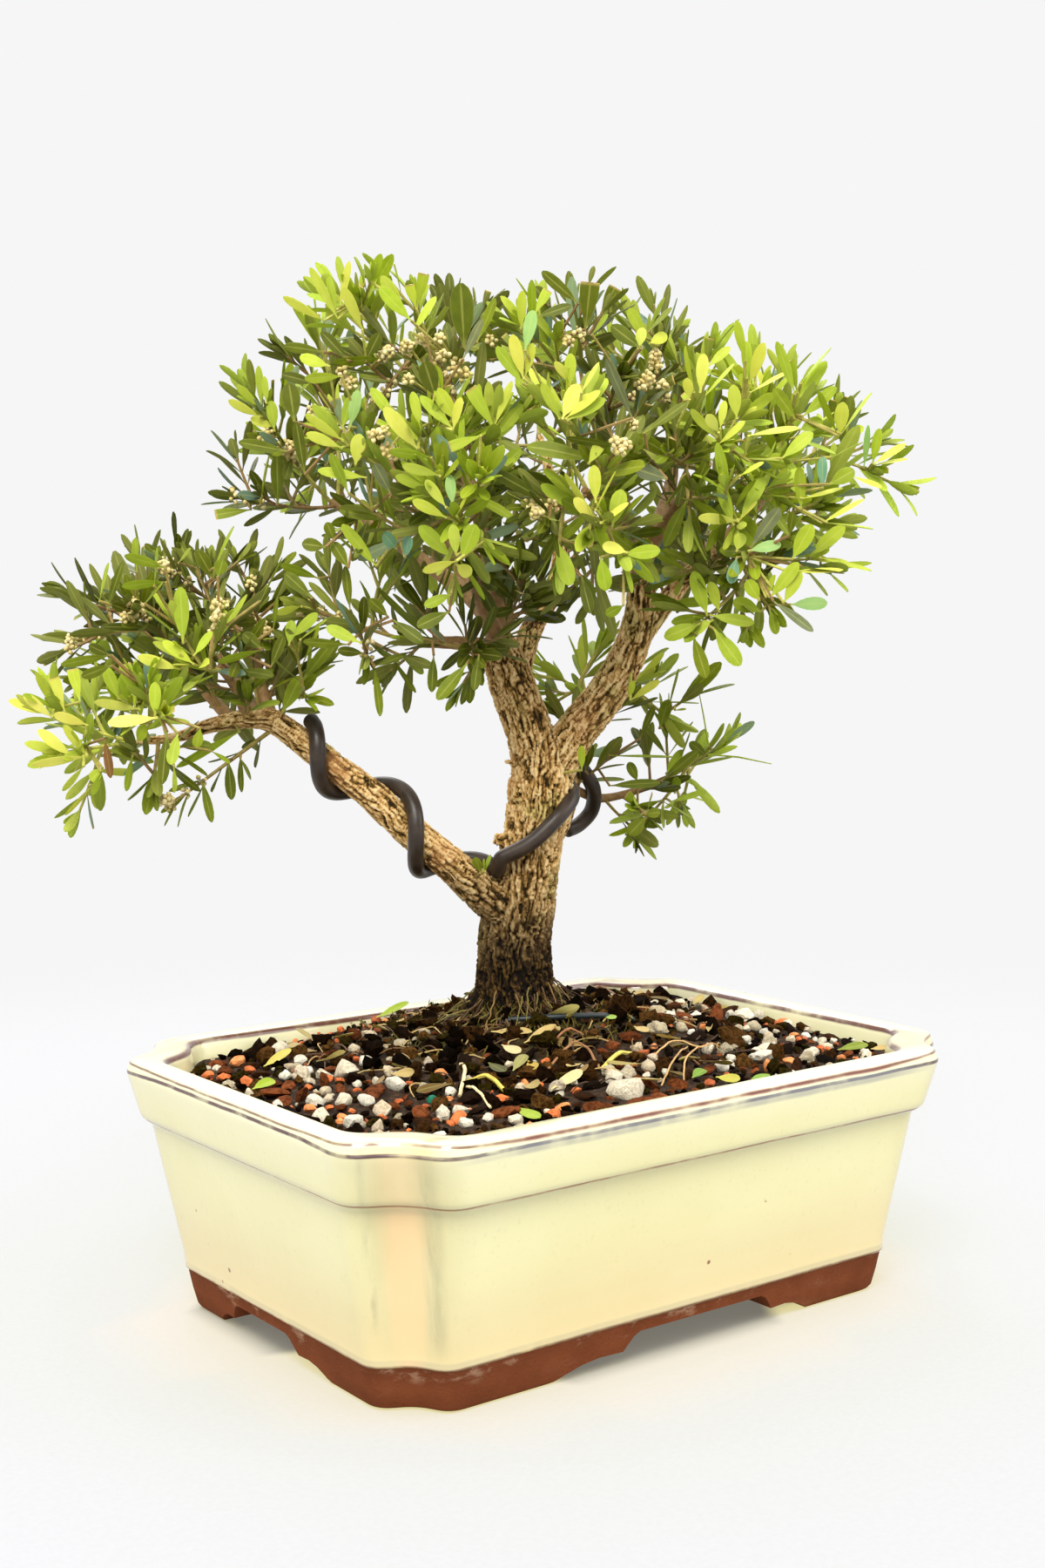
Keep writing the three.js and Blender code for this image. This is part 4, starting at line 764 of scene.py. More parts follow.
# Pot
def pot_outline(half, notch, steps=6, span=24):
    """Counter-clockwise outline with a rounded notch scooped into each corner."""
    inner = notch * NOTCH_DEPTH
    corners = []
    for sx, sy in ((1, 1), (-1, 1), (-1, -1), (1, -1)):
        bends = [(sx * half[0], sy * (half[1] - notch)), (sx * (half[0] - inner), sy * (half[1] - inner)),
            (sx * (half[0] - notch), sy * half[1])]
        corners += bends if sx == sy else bends[::-1]
    corners = np.array(corners, float)
    cut = notch * NOTCH_BEND
    points = []
    for i, corner in enumerate(corners):
        before, after = corners[i - 1], corners[(i + 1) % len(corners)]
        start, end = corner + unit(before - corner) * cut, corner + unit(after - corner) * cut
        for t in np.linspace(0, 1, steps + 1):
            points.append((1 - t) ** 2 * start + 2 * t * (1 - t) * corner + t * t * end)
        run = after + unit(corner - after) * cut - end
        pieces = 8 if np.linalg.norm(run) > span else 2
        points += [end + run * k / pieces for k in range(1, pieces)]
    return np.array(points)


def grown(half, by):
    return (half[0] + by, half[1] + by)


def lofted(levels):
    """A closed mesh over pot outlines, each given by its height, half size and notch."""
    rings = [np.column_stack([pot_outline(half, notch), np.full(len(pot_outline(half, notch)), z)])
        for z, half, notch in levels]
    return np.vstack(rings) + POT_CENTRE, skin(len(rings), len(rings[0]))


def blended_level(z, part, low, high, low_notch, high_notch, by=0.0):
    half = tuple(a + (b - a) * part + by for a, b in zip(low, high))
    return (z, half, low_notch + (high_notch - low_notch) * part)


# Heights up the rim band, and how far the outline at each stands in from RIM_HALF
RIM_PROFILE = ((54.0, 3.1), (54.4, 2.7), (55.1, 2.1), (56.2, 1.7), (57.5, 1.4), (62, 0.4), (65.5, -0.35),
    (67.2, -0.75), (67.8, -0.8), (68.3, -0.62), (69.4, -0.42), (70.2, -0.2), (70.7, 0.1), (71, 0.8))


def pot_levels():
    def body(z, by=0.0):
        return blended_level(z, z / BODY_TOP_Z, BASE_HALF, BODY_TOP_HALF, BASE_NOTCH, BODY_TOP_NOTCH, by)

    levels = [(z, grown(BASE_HALF, -inset), BASE_NOTCH) for z, inset in ((0, 1.4), (0.5, 0.6), (1.4, 0))]
    levels += [body(6), body(GLAZE_LINE_Z - 0.2), body(GLAZE_LINE_Z, 0.1), body(GLAZE_LINE_Z + 0.45, 0.42),
        body(GLAZE_LINE_Z + 1.4, 0.3), *[body(z, 0.05) for z in (16, 24, 32, 40, 47)], body(51.5),
        body(52.8, 0.1), body(BODY_TOP_Z, 0.5)]
    return levels + [(z, grown(RIM_HALF, -inset), RIM_NOTCH) for z, inset in RIM_PROFILE]


def cavity_levels():
    levels = [(FLOOR_TOP_Z, CAVITY_FLOOR_HALF, CAVITY_FLOOR_NOTCH)]
    for z, by in ((40, 0), (60, 0), (68, 0), (CAVITY_TOP_Z, 0.05), (70.4, 0.35), (70.8, 0.9), (71.1, 1.7)):
        part = min(1, (z - FLOOR_TOP_Z) / (CAVITY_TOP_Z - FLOOR_TOP_Z))
        levels.append(blended_level(z, part, CAVITY_FLOOR_HALF, CAVITY_TOP_HALF, CAVITY_FLOOR_NOTCH,
            CAVITY_TOP_NOTCH, by))
    return levels


def arch_prism(ends, reach, across):
    """The hollow between two feet, run through the whole pot."""
    def half_outline(floor, tip, crown):
        return [(floor, -1)] + [(floor + (tip - floor) * part, z) for part, z in ARCH_LOBE] \
            + [(tip + (crown - tip) * part, z) for part, z in ARCH_RISE]

    outline = half_outline(*ends[0]) + half_outline(*ends[1])[::-1]
    rings = []
    for y in (reach, -reach):
        rings += [(-y, x, z) if across else (x, y, z) for x, z in outline]
    return np.array(rings) + POT_CENTRE, skin(2, len(outline))


def drain_prism(x, sides=32):
    turns = np.arange(sides) / sides * 2 * math.pi
    rings = [(x + DRAIN_RADIUS * math.cos(a), DRAIN_RADIUS * math.sin(a), z) for z in (0, 20) for a in turns]
    return np.array(rings) + POT_CENTRE, skin(2, sides)


def make_pot(glaze, clay):
    under = [(-1, grown(BASE_HALF, -FOOT_THICKNESS), BASE_NOTCH),
        (FLOOR_UNDERSIDE_Z, grown(BASE_HALF, -FOOT_THICKNESS), BASE_NOTCH)]
    cutters = [lofted(cavity_levels()), lofted(under), arch_prism(LONG_ARCH, RIM_HALF[1] + 4, False),
        arch_prism(SHORT_ARCH, RIM_HALF[0] + 4, True), drain_prism(DRAIN_X), drain_prism(-DRAIN_X)]
    helpers = [linked("cutter", face_outwards(make_mesh("cutter", *cutter, 1))) for cutter in cutters]
    body = make_mesh("pot_body", *lofted(pot_levels()), 1)
    cut = evaluated(body, *[("BOOLEAN", {"operation": "DIFFERENCE", "solver": "EXACT", "object": helper})
        for helper in helpers])
    for helper in helpers:
        bpy.data.objects.remove(helper)
    centres = coordinates(cut, "center", "polygons") - POT_CENTRE
    normals = coordinates(cut, "normal", "polygons")
    inward = (normals[:, :2] * centres[:, :2]).sum(1) < 0
    bare = (centres[:, 2] < GLAZE_LINE_Z) | ((centres[:, 2] < 60) & inward) \
        | ((centres[:, 2] < 20) & (np.abs(normals[:, 2]) > 0.9))
    cut.transform(Matrix.Scale(MM, 4))
    dress(cut, (glaze, clay), 32)
    cut.polygons.foreach_set("material_index", bare.astype(np.int32))
    show("glazed_pot", cut, ["pot"])


# Soil
def soil_height(points):
    """Height of the mound under points of the row's frame."""
    spots = in_tree_frame(np.append(points[..., :2], np.zeros(points[..., :1].shape), -1))
    spread = ((spots[..., 0] - SOIL_MOUND_CENTRE[0]) ** 2 + (spots[..., 1] - SOIL_MOUND_CENTRE[1]) ** 2)
    return SOIL_EDGE_Z + SOIL_MOUND * np.exp(-spread / SOIL_MOUND_RADIUS**2)


FOOT = place((-7, 24, 0))


def from_foot(points):
    return np.linalg.norm(points[..., :2] - FOOT[:2], axis=-1)


SOIL_SHARE = (SOIL_EDGE_Z - FLOOR_TOP_Z) / (CAVITY_TOP_Z - FLOOR_TOP_Z)
SOIL_HALF = tuple(a + (b - a) * SOIL_SHARE - 0.3 for a, b in zip(CAVITY_FLOOR_HALF, CAVITY_TOP_HALF))
SOIL_NOTCH = CAVITY_FLOOR_NOTCH + (CAVITY_TOP_NOTCH - CAVITY_FLOOR_NOTCH) * SOIL_SHARE
SOIL_RINGS = 54


def make_soil_bed(look):
    """The earth itself: a closed body with a crumbled top."""
    edge = pot_outline(SOIL_HALF, SOIL_NOTCH, 3, 12)
    floor = edge * np.array(grown(CAVITY_FLOOR_HALF, -0.5)) / np.array(SOIL_HALF)
    rings = [np.column_stack([floor, np.full(len(edge), SOIL_FLOOR_Z)]) + POT_CENTRE,
        np.column_stack([edge, np.full(len(edge), SOIL_EDGE_Z - 1)]) + POT_CENTRE]
    outer = np.column_stack([edge, np.zeros(len(edge))]) + POT_CENTRE
    for part in np.linspace(0, 0.985, SOIL_RINGS):
        ring = outer + (FOOT - outer) * part
        crumbs = 1.3 * noise_at(ring / 11) + 0.8 * noise_at(ring / 3.6) + 0.5 * noise_at(ring / 1.5)
        ring[:, 2] = soil_height(ring) + crumbs * min(1, 0.3 + 4 * part) - 0.4
        rings.append(ring)
    shape = Shape()
    points = np.vstack(rings)
    mark = np.zeros((len(points), 3))
    mark[:, 0] = smoothstep(from_foot(points), 62, 22)
    shape.add(points, skin(len(rings), len(edge)), mark=mark)
    show_shape("soil_bed", shape, [look], ["soil"], 80)


def ball(divisions):
    made = bmesh.new()
    bmesh.ops.create_icosphere(made, subdivisions=divisions, radius=1)
    made.verts.ensure_lookup_table()
    points = np.array([vertex.co[:] for vertex in made.verts])
    faces = [[vertex.index for vertex in face.verts] for face in made.faces]
    made.free()
    return points, faces


BALLS = {divisions: ball(divisions) for divisions in (1, 2, 3)}


def random_turn(rng):
    """A random rotation matrix."""
    a, b, _ = (unit([rng.gauss(0, 1) for _ in range(3)]) for _ in range(3))
    b = unit(b - a * (a @ b))
    return np.array([a, b, np.cross(a, b)])


def lump(shape, centre, radius, rng, tone, divisions=1, squash=(1, 1, 1), facets=5, knobs=0.25, flat=0.0,
        slot=0):
    """A stone, clay or bark grain: a ball knocked flat on a few sides and knobbled."""
    points, faces = BALLS[divisions]
    points = points * (1 + knobs * noise_at(points * 1.4 + rng.uniform(0, 90))[:, None])
    if divisions > 1:
        points = points * (1 + 0.3 * knobs * noise_at(points * 4.2 + rng.uniform(0, 90))[:, None])
    for _ in range(facets):
        normal = unit([rng.gauss(0, 1) for _ in range(3)])
        over = np.maximum(0, points @ normal - rng.uniform(0.55, 0.85))
        points = points - over[:, None] * normal
    points = points * np.array(squash)
    turn = random_turn(rng)
    if rng.random() < flat:
        spin, lean = rng.uniform(0, 2 * math.pi), rng.uniform(-0.3, 0.3)
        rows = (math.cos(spin), math.sin(spin), lean), (-math.sin(spin), math.cos(spin), 0), (0, 0, 1)
        turn = np.array([unit(row) for row in rows])
    shape.add(points @ turn * radius + centre, faces, slot, tone)


def in_pot(point, margin):
    """Whether a point of the row's frame is inside the pot's wall by a margin."""
    x, y = np.abs(point[:2] - POT_CENTRE[:2])
    return x < SOIL_HALF[0] - margin and y < SOIL_HALF[1] - margin \
        and (SOIL_HALF[0] - x) + (SOIL_HALF[1] - y) > SOIL_NOTCH * 1.3 + 1.4 * margin


def jittered(tone, rng, spread=0.2, hue=0.04):
    """The tone, lighter or darker, and a little warmer or cooler."""
    shade, warmth = 1 + spread * rng.uniform(-1, 1), hue * rng.uniform(-1, 1)
    return tuple(min(1, level * shade * (1 + warmth * side)) for level, side in zip(tone, (1, 0, -1.5)))


# Grains: how many, radii, tones, squash, facets, knobs, least distance from the trunk, divisions,
# clusters and most distance from the trunk
PALE_STONES = (srgb(230, 218, 192), srgb(214, 196, 166), srgb(192, 178, 148), srgb(236, 228, 208))
ORANGE_CLAY = (srgb(206, 110, 56), srgb(184, 92, 46), srgb(218, 138, 80), srgb(160, 84, 46))
DARK_BARK = (srgb(52, 29, 12), srgb(92, 48, 22), srgb(28, 16, 7), srgb(118, 64, 34), srgb(20, 11, 4))
EARTH = (srgb(26, 14, 5), srgb(56, 35, 14), srgb(15, 8, 2), srgb(92, 62, 28), srgb(50, 40, 10))
GRAINS = (
    ("crumbs", 46, (2.2, 4.0), EARTH, (1, 0.9, 0.8), 2, 0.9, 10, 3, -9, 30),
    ("bark_chips", 130, (2.8, 5.6), DARK_BARK, (1, 0.62, 0.3), 6, 0.3, 20, 2, 0.0),
    ("crumbs", 220, (2.0, 3.6), EARTH, (1, 0.9, 0.8), 2, 0.8, 12, 2, 0.0),
    ("pumice", 78, (2.2, 3.6), PALE_STONES, (1, 0.82, 0.72), 5, 0.6, 46, 3, -0.1),
    ("pumice", 100, (1.3, 2.3), PALE_STONES, (1, 0.85, 0.75), 5, 0.5, 44, 2, -0.1),
    ("clay_bits", 96, (1.3, 2.5), ORANGE_CLAY, (1, 0.8, 0.6), 4, 0.3, 42, 2, 0.08),
    ("bark_chips", 520, (1.4, 2.8), DARK_BARK, (1, 0.7, 0.42), 6, 0.35, 13, 1, 0.0),
    ("clay_bits", 90, (0.8, 1.4), ORANGE_CLAY, (1, 0.8, 0.7), 3, 0.3, 22, 1, 0.05),
    ("pumice", 80, (0.6, 1.3), PALE_STONES, (1, 0.9, 0.8), 3, 0.3, 22, 1, 0.0),
    ("crumbs", 1200, (0.8, 1.7), EARTH, (1, 0.85, 0.75), 3, 0.6, 9, 1, -0.4),
)
# Grains that the photograph shows plainly: pixel, radius and tone
SHOWN_STONES = (
    (719, 1256, 5.2, 0), (705, 1241, 2.9, 0), (744, 1228, 2.6, 1), (455, 1247, 3.4, 3), (599, 1251, 1.9, 1),
    (562, 1286, 1.8, 3), (593, 1290, 2.5, 0), (528, 1279, 2.8, 0), (534, 1293, 2.5, 3), (532, 1168, 3.0, 2),
    (487, 1188, 2.2, 2), (459, 1199, 1.9, 2), (447, 1204, 1.7, 2), (296, 1187, 2.2, 0), (321, 1208, 3.4, 0),
    (344, 1221, 2.5, 3), (397, 1234, 4.2, 0), (419, 1221, 2.4, 3), (407, 1208, 2.3, 1), (425, 1192, 2.8, 1),
    (433, 1244, 2.0, 0), (362, 1267, 2.7, 3), (393, 1266, 2.8, 0), (421, 1266, 2.5, 3), (440, 1277, 2.8, 1),
    (368, 1285, 3.1, 0), (404, 1291, 3.2, 3), (352, 1185, 1.8, 2), (341, 1191, 1.5, 2), (340, 1202, 1.6, 2),
    (373, 1256, 2.0, 1), (516, 1257, 2.0, 3), (320, 1270, 1.8, 3), (812, 1208, 2.6, 0), (840, 1218, 2.0, 3),
    (829, 1227, 2.2, 3), (750, 1217, 2.0, 1), (865, 1182, 2.8, 2), (882, 1191, 1.8, 1), (857, 1196, 2.0, 3),
    (931, 1213, 2.7, 0), (908, 1195, 1.8, 1), (944, 1197, 1.6, 0), (953, 1226, 1.6, 1), (908, 1234, 1.6, 3),
    (768, 1156, 1.8, 2), (778, 1152, 1.7, 2), (783, 1181, 2.2, 2), (850, 1172, 2.0, 2), (808, 1160, 2.2, 1),
    (702, 1237, 2.2, 1),
)
SHOWN_CLAY = (
    (527, 1287, 2.9, 0), (507, 1234, 2.2, 2), (575, 1264, 2.3, 0), (636, 1282, 2.7, 0), (646, 1273, 2.2, 2),
    (489, 1253, 2.3, 2), (288, 1198, 1.2, 0), (371, 1194, 2.2, 0), (274, 1221, 2.8, 2), (287, 1229, 2.2, 0),
    (256, 1239, 2.2, 0), (284, 1244, 2.4, 0), (378, 1239, 1.6, 0), (354, 1250, 1.6, 0), (378, 1273, 1.5, 0),
    (405, 1277, 1.4, 0), (458, 1265, 1.4, 1), (470, 1244, 1.2, 1), (518, 1291, 1.4, 0), (917, 1194, 1.4, 1),
    (984, 1218, 1.4, 1),
)
SHOWN_CHIPS = (
    (482, 1279, 4.6, 3), (577, 1281, 5.6, 3), (628, 1262, 3.0, 2), (575, 1184, 3.4, 0), (322, 1268, 4.2, 3),
    (490, 1292, 4.4, 0), (955, 1209, 2.8, 4), (722, 1229, 2.6, 4), (936, 1178, 2.0, 2),
)
TEAL_PELLET = (497, 1264)
TEAL = srgb(20, 104, 78)
PELLET_RADIUS = 1.7
GRAIN_TRIES = 24
GRAIN_OVERLAP = 0.86
# Power that makes small grains more common than large ones, and how uneven the bare ring round the foot is
GRAIN_BIAS = 1.6
BARE_RING_BLUR = (-8, 14)


def make_grains(looks):
    rng = random.Random(GRAIN_SEED)
    shapes = {"pumice": Shape(), "clay_bits": Shape(), "bark_chips": Shape(), "crumbs": Shape()}
    taken = []

    def free(point, radius):
        if not taken:
            return True
        spots = np.array(taken)
        gaps = np.linalg.norm(spots[:, :2] - point[:2], axis=1) - GRAIN_OVERLAP * (spots[:, 2] + radius)
        return gaps.min() > 0

    for name, shown, tones, squash, facets in (
            ("pumice", SHOWN_STONES, PALE_STONES, (1, 0.9, 0.8), 7),
            ("clay_bits", SHOWN_CLAY, ORANGE_CLAY, (1, 0.8, 0.6), 4),
            ("bark_chips", SHOWN_CHIPS, DARK_BARK, (1, 0.6, 0.3), 6)):
        for *pixel, radius, tone in shown:
            point = seen_on_soil(pixel)
            if not in_pot(point, radius * 0.7):
                continue
            point[2] += 0.35 * radius * squash[2]
            lump(shapes[name], point, radius, rng, tones[tone], 2, squash, facets, 0.3, 1.0)
            taken.append((point[0], point[1], radius * 0.9))
    pellet = seen_on_soil(TEAL_PELLET, 0.5)
    lump(shapes["clay_bits"], pellet, PELLET_RADIUS, rng, TEAL, 2, (1, 1, 0.9), 0, 0.08)
    taken.append((pellet[0], pellet[1], PELLET_RADIUS))
    for name, number, radii, tones, squash, facets, knobs, keep_off, divisions, cluster, *within in GRAINS:
        for _ in range(number):
            radius = radii[0] + (radii[1] - radii[0]) * rng.random() ** GRAIN_BIAS
            for _ in range(GRAIN_TRIES):
                point = POT_CENTRE + [rng.uniform(-1, 1) * SOIL_HALF[0], rng.uniform(-1, 1) * SOIL_HALF[1], 0]
                dense = noise.noise((point + 40 * len(name)) / 21) + 0.35 * noise.noise(point / 8) > cluster
                if within:
                    point = FOOT + (point - POT_CENTRE) * within[0] / SOIL_HALF[0]
                if dense and in_pot(point, radius * 0.9) and free(point, radius) \
                        and from_foot(point) > keep_off + (rng.uniform(*BARE_RING_BLUR) if not within else 0):
                    break
            else:
                continue
            taken.append((point[0], point[1], radius))
            point[2] = soil_height(point) + radius * squash[2] * rng.uniform(0.1, 0.75) - 0.2
            tone = jittered(rng.choice(tones), rng)
            lump(shapes[name], point, radius, rng, tone, divisions, squash, facets, knobs, 0.7)
    for name, shape in shapes.items():
        show_shape(name, shape, [looks[name]], (), 38 if name != "pumice" else 50)


# Leaves
LEAF_LENGTH = 14.0
LEAF_WIDTH = 3.2
LEAF_THICKNESS = 0.36
LEAF_SWELL = 0.16
STATIONS = np.array([0, 0.11, 0.26, 0.44, 0.62, 0.79, 0.92, 1.0])
HALVES = np.array([0.12, 0.19, 0.58, 0.89, 1.0, 0.93, 0.66, 0.2])
CROSS = np.array([1, 0.52, 0, -0.52, -1, 0])
TIP_NOTCH = 0.02
CUT_TAN = srgb(206, 178, 112)


def leaf_faces():
    """Faces of a blade and the side that each is on, 0 above and 1 below."""
    sides, rings = len(CROSS), len(STATIONS)
    faces = skin(rings, sides)[:-2]
    slots = [0, 0, 0, 0, 1, 1] * (rings - 1)
    last = (rings - 1) * sides
    for a, b, c, d in ((0, 5, 4, 3), (0, 3, 2, 1)):
        faces.append((a, b, c, d))
        faces.append((last + d, last + c, last + b, last + a))
        slots += [1, 0]
    return faces, slots


LEAF_FACES, LEAF_SLOTS = leaf_faces()


def leaf_form(cut):
    """Place along, across, rise and mark of a blade's points. A cut blade ends square."""
    stations = STATIONS * cut
    halves = np.interp(stations, STATIONS, HALVES)
    along = np.repeat(stations[:, None], len(CROSS), 1)
    if cut == 1:
        along[-1, 2] -= TIP_NOTCH
    rise = np.array([0, 1, 0, 1, 0, 0]) * LEAF_SWELL * halves[:, None]
    sink = np.array([0, 0, 0, 0, 0, 1]) * LEAF_THICKNESS * (0.5 + 0.5 * halves[:, None])
    mark = np.stack([along, np.repeat(CROSS[None, :] * 0.5 + 0.5, len(STATIONS), 0), along * 0], -1)
    return along, halves[:, None] * CROSS[None, :], rise - sink, mark.reshape(-1, 3)


# What is left of the length of a leaf that shears have cut
CUTS = (0.55, 0.72)
LEAF_FORMS = {cut: leaf_form(cut) for cut in (1, *CUTS)}

# Leaf tones from pale new growth to old leaves
LEAF_TONES = ((0.0, srgb(236, 232, 122)), (0.15, srgb(217, 221, 95)), (0.3, srgb(195, 210, 71)),
    (0.5, srgb(164, 185, 42)), (0.7, srgb(132, 146, 24)), (1.0, srgb(80, 89, 10)))
# Some old leaves are grey-green, some larger than the rest, and some are missing
GREY_GREEN_TONE = srgb(122, 152, 134)
GREY_GREEN_AGE = 0.4
GREY_GREEN_SHARE = 0.05
LARGE_AGE = 0.6
LARGE_SHARE = 0.12
LARGE_SIZE = 1.3
MISSING_SHARE = 0.14
BOX_MARGIN = 0.05


def tone_of(age, table):
    levels = np.array([tone for _, tone in table])
    return np.array([np.interp(age, [at for at, _ in table], levels[:, i]) for i in range(3)])


def add_leaf(shape, base, direction, face, rng, length, width, age, bend=0.0, cup=0.0, twist=0.0, tone=None,
        cut=1):
    """A blade that widens from its stalk to a blunt, notched tip. Left out where it would leave the box."""
    direction = unit(direction)
    face = unit(face - direction * (face @ direction))
    across = np.cross(face, direction)
    along, half, rise, mark = LEAF_FORMS[cut]
    turn = twist * along[..., None]
    wide = across * np.cos(turn) + face * np.sin(turn)
    high = face * np.cos(turn) - across * np.sin(turn)
    lift = rise + cup * width * half**2
    points = base + direction * length * along[..., None] + wide * half[..., None] * width / 2 \
        + high * lift[..., None] + face * (bend * length * along**2)[..., None]
    points = points.reshape(-1, 3)
    if (points < BOX_LOW + BOX_MARGIN).any() or (points > BOX_HIGH - BOX_MARGIN).any():
        return
    if tone is None:
        tone = jittered(tone_of(min(1, max(0, age + rng.gauss(0, 0.08))), LEAF_TONES), rng, 0.16)
        if age > GREY_GREEN_AGE and rng.random() < GREY_GREEN_SHARE:
            tone = jittered(GREY_GREEN_TONE, rng)
    tones = np.tile(np.asarray(tone, float), (len(points), 1))
    if cut < 1:
        tones[-len(CROSS):] = CUT_TAN
    mark = mark.copy()
    mark[:, 2] = rng.random()
    shape.add(points, LEAF_FACES, LEAF_SLOTS, tones, mark)


TWIG_TONES = ((0.0, srgb(206, 210, 92)), (0.4, srgb(172, 166, 76)), (0.8, srgb(152, 130, 68)),
    (1.0, srgb(136, 106, 60)))
TWIG_SLOT = 2
BUD_SLOT = 3
UP = np.array([0.0, 0, 1])
# Leaf pairs from a shoot's tip down: distance below the tip, lean from the stem and size
PAIRS = ((0.2, 7, 0.45), (1.2, 16, 0.8), (4.6, 27, 1.0), (9.2, 36, 1.04), (14.4, 44, 1.0), (20, 50, 0.95),
    (26, 54, 0.92), (32.5, 58, 0.9), (39.5, 60, 0.86), (47, 63, 0.86), (55, 66, 0.86))
GOLDEN_ANGLE = 2.4
BUD_RADIUS = (0.62, 0.86)
BUD_SPREAD = (1.2, 1.7)
BUD_TONES = (srgb(232, 214, 156), srgb(216, 196, 132), srgb(202, 184, 112))
STEM_SPOTS = []


class Stem:
    """A bent stem, measured from its root."""

    def __init__(self, points):
        self.points = points
        self.along, self.side, self.up = frames_along(points)
        self.at = lengths_along(points)
        self.length = self.at[-1]
        STEM_SPOTS.extend(points[1:])

    def frame(self, distance):
        def value(rows):
            return np.array([np.interp(distance, self.at, rows[:, i]) for i in range(3)])

        return value(self.points), unit(value(self.along)), unit(value(self.side)), unit(value(self.up))


def stem_to(root, out, tip, steps=12):
    """A stem that leaves in the direction out and bends towards its tip."""
    chord = tip - root
    middle = root + out * 0.28 * np.linalg.norm(chord)
    middle = middle + (root + chord * 0.55 - middle) * 0.45
    t = np.linspace(0, 1, steps + 1)[:, None]
    return Stem((1 - t) ** 2 * root + 2 * t * (1 - t) * middle + t * t * tip)


def bud_cluster(shape, centre, along, rng, number=11):
    """A tight head of cream flower buds."""
    side = unit(np.cross(along, UP + 0.01))
    up = np.cross(along, side)
    for k in range(number):
        rise = 1 - 1.55 * (k + 0.5) / number
        turn = k * GOLDEN_ANGLE + rng.uniform(-0.2, 0.2)
        level = math.sqrt(max(0, 1 - rise * rise))
        out = along * rise + (side * math.cos(turn) + up * math.sin(turn)) * level
        radius, spot = rng.uniform(*BUD_RADIUS), centre + out * rng.uniform(*BUD_SPREAD)
        tone = jittered(rng.choice(BUD_TONES), rng, 0.12)
        lump(shape, spot, radius, rng, tone, 1, (1, 0.95, 1.1), 1, 0.1, 0, BUD_SLOT)


def flower(shape, point, along, rng):
    """Two or three heads of buds, close together."""
    for k in range(rng.choice((1, 2, 2, 3))):
        shift = np.array([rng.uniform(-1, 1) for _ in range(3)]) * (0 if k == 0 else 2.2)
        bud_cluster(shape, point + shift - along * 1.5 * k, along, rng, rng.randint(7, 12))


def grow(shape, stem, age, rng, buds=False, size=1.0, bare=0.1, thick=0.7, droop=0.0, cut=0.0):
    """Leaves a stem with opposite pairs of leaves, each pair square to the last."""
    tone = tone_of(min(1, age + 0.1), TWIG_TONES)
    shape.tube(stem.points, np.linspace(thick, 0.4, len(stem.points)), 6, TWIG_SLOT, tone)
    spin = rng.uniform(0, math.pi)
    stretch = rng.uniform(0.85, 1.2)
    for order, (down, lean, pair_size) in enumerate(PAIRS):
        down *= stretch if order > 1 else 1
        if down > stem.length * (1 - bare):
            break
        point, along, side, up = stem.frame(stem.length - down)
        for half in (0, math.pi):
            if order > 2 and rng.random() < MISSING_SHARE:
                continue
            turn = spin + order * math.pi / 2 + half + rng.gauss(0, 0.16)
            radial = side * math.cos(turn) + up * math.sin(turn)
            angle = math.radians(max(3, lean + rng.gauss(0, 8)))
            direction = along * math.cos(angle) + radial * math.sin(angle)
            face = along * math.sin(angle) - radial * math.cos(angle)
            # Leaves lower on a shoot are older and darker: partly real ageing, partly painted shade inside
            # the crown
            aged_and_shaded = min(1, age + 0.06 * order)
            direction = unit(direction + UP * (0.16 * (1 - aged_and_shaded) - rng.uniform(0, 0.5) * droop))
            face = face + UP * 0.3 + np.cross(direction, face) * rng.gauss(0, 0.2 + 0.4 * aged_and_shaded)
            big = LARGE_SIZE if aged_and_shaded > LARGE_AGE and rng.random() < LARGE_SHARE else 1
            length = LEAF_LENGTH * size * pair_size * big * rng.uniform(0.78, 1.14)
            width = LEAF_WIDTH * size * math.sqrt(pair_size) * big * rng.uniform(0.78, 1.15)
            sheared = rng.choice(CUTS) if order in (1, 2, 3) and rng.random() < cut else 1
            bend, cup, twist = rng.gauss(-0.04, 0.08), rng.uniform(0, 0.16) * (1.3 - aged_and_shaded), rng.gauss(0, 0.3)
            add_leaf(shape, point + radial * 0.25, direction, face, rng, length, width, aged_and_shaded, bend, cup,
                twist, None, sheared)
        if buds and order in (2, 3):
            bud_cluster(shape, point + along * 0.6, unit(along), rng, rng.randint(5, 9))
    point, along, side, up = stem.frame(stem.length)
    if buds:
        flower(shape, point + along * 1.2, along, rng)


def root_on(limb, tip):
    """Where on a limb a shoot springs to reach a tip: near it, and leaning to the limb's end."""
    points, radii = limb
    along = frames_along(points)[0]
    best = None
    for i in range(int(len(points) * 0.3), len(points)):
        out = tip - points[i]
        at_end = i + 1 == len(points)
        out = along[i] if at_end else unit(out - along[i] * (out @ along[i]))
        root = points[i] + out * (0 if at_end else radii[i] * 0.4)
        chord = tip - root
        cost = np.linalg.norm(chord) + 12 * (1 - unit(chord) @ out) \
            - (0 if at_end else 6 * unit(tip - points[i]) @ along[i])
        if best is None or cost < best[0]:
            best = (cost, root, out)
    return best[1:]


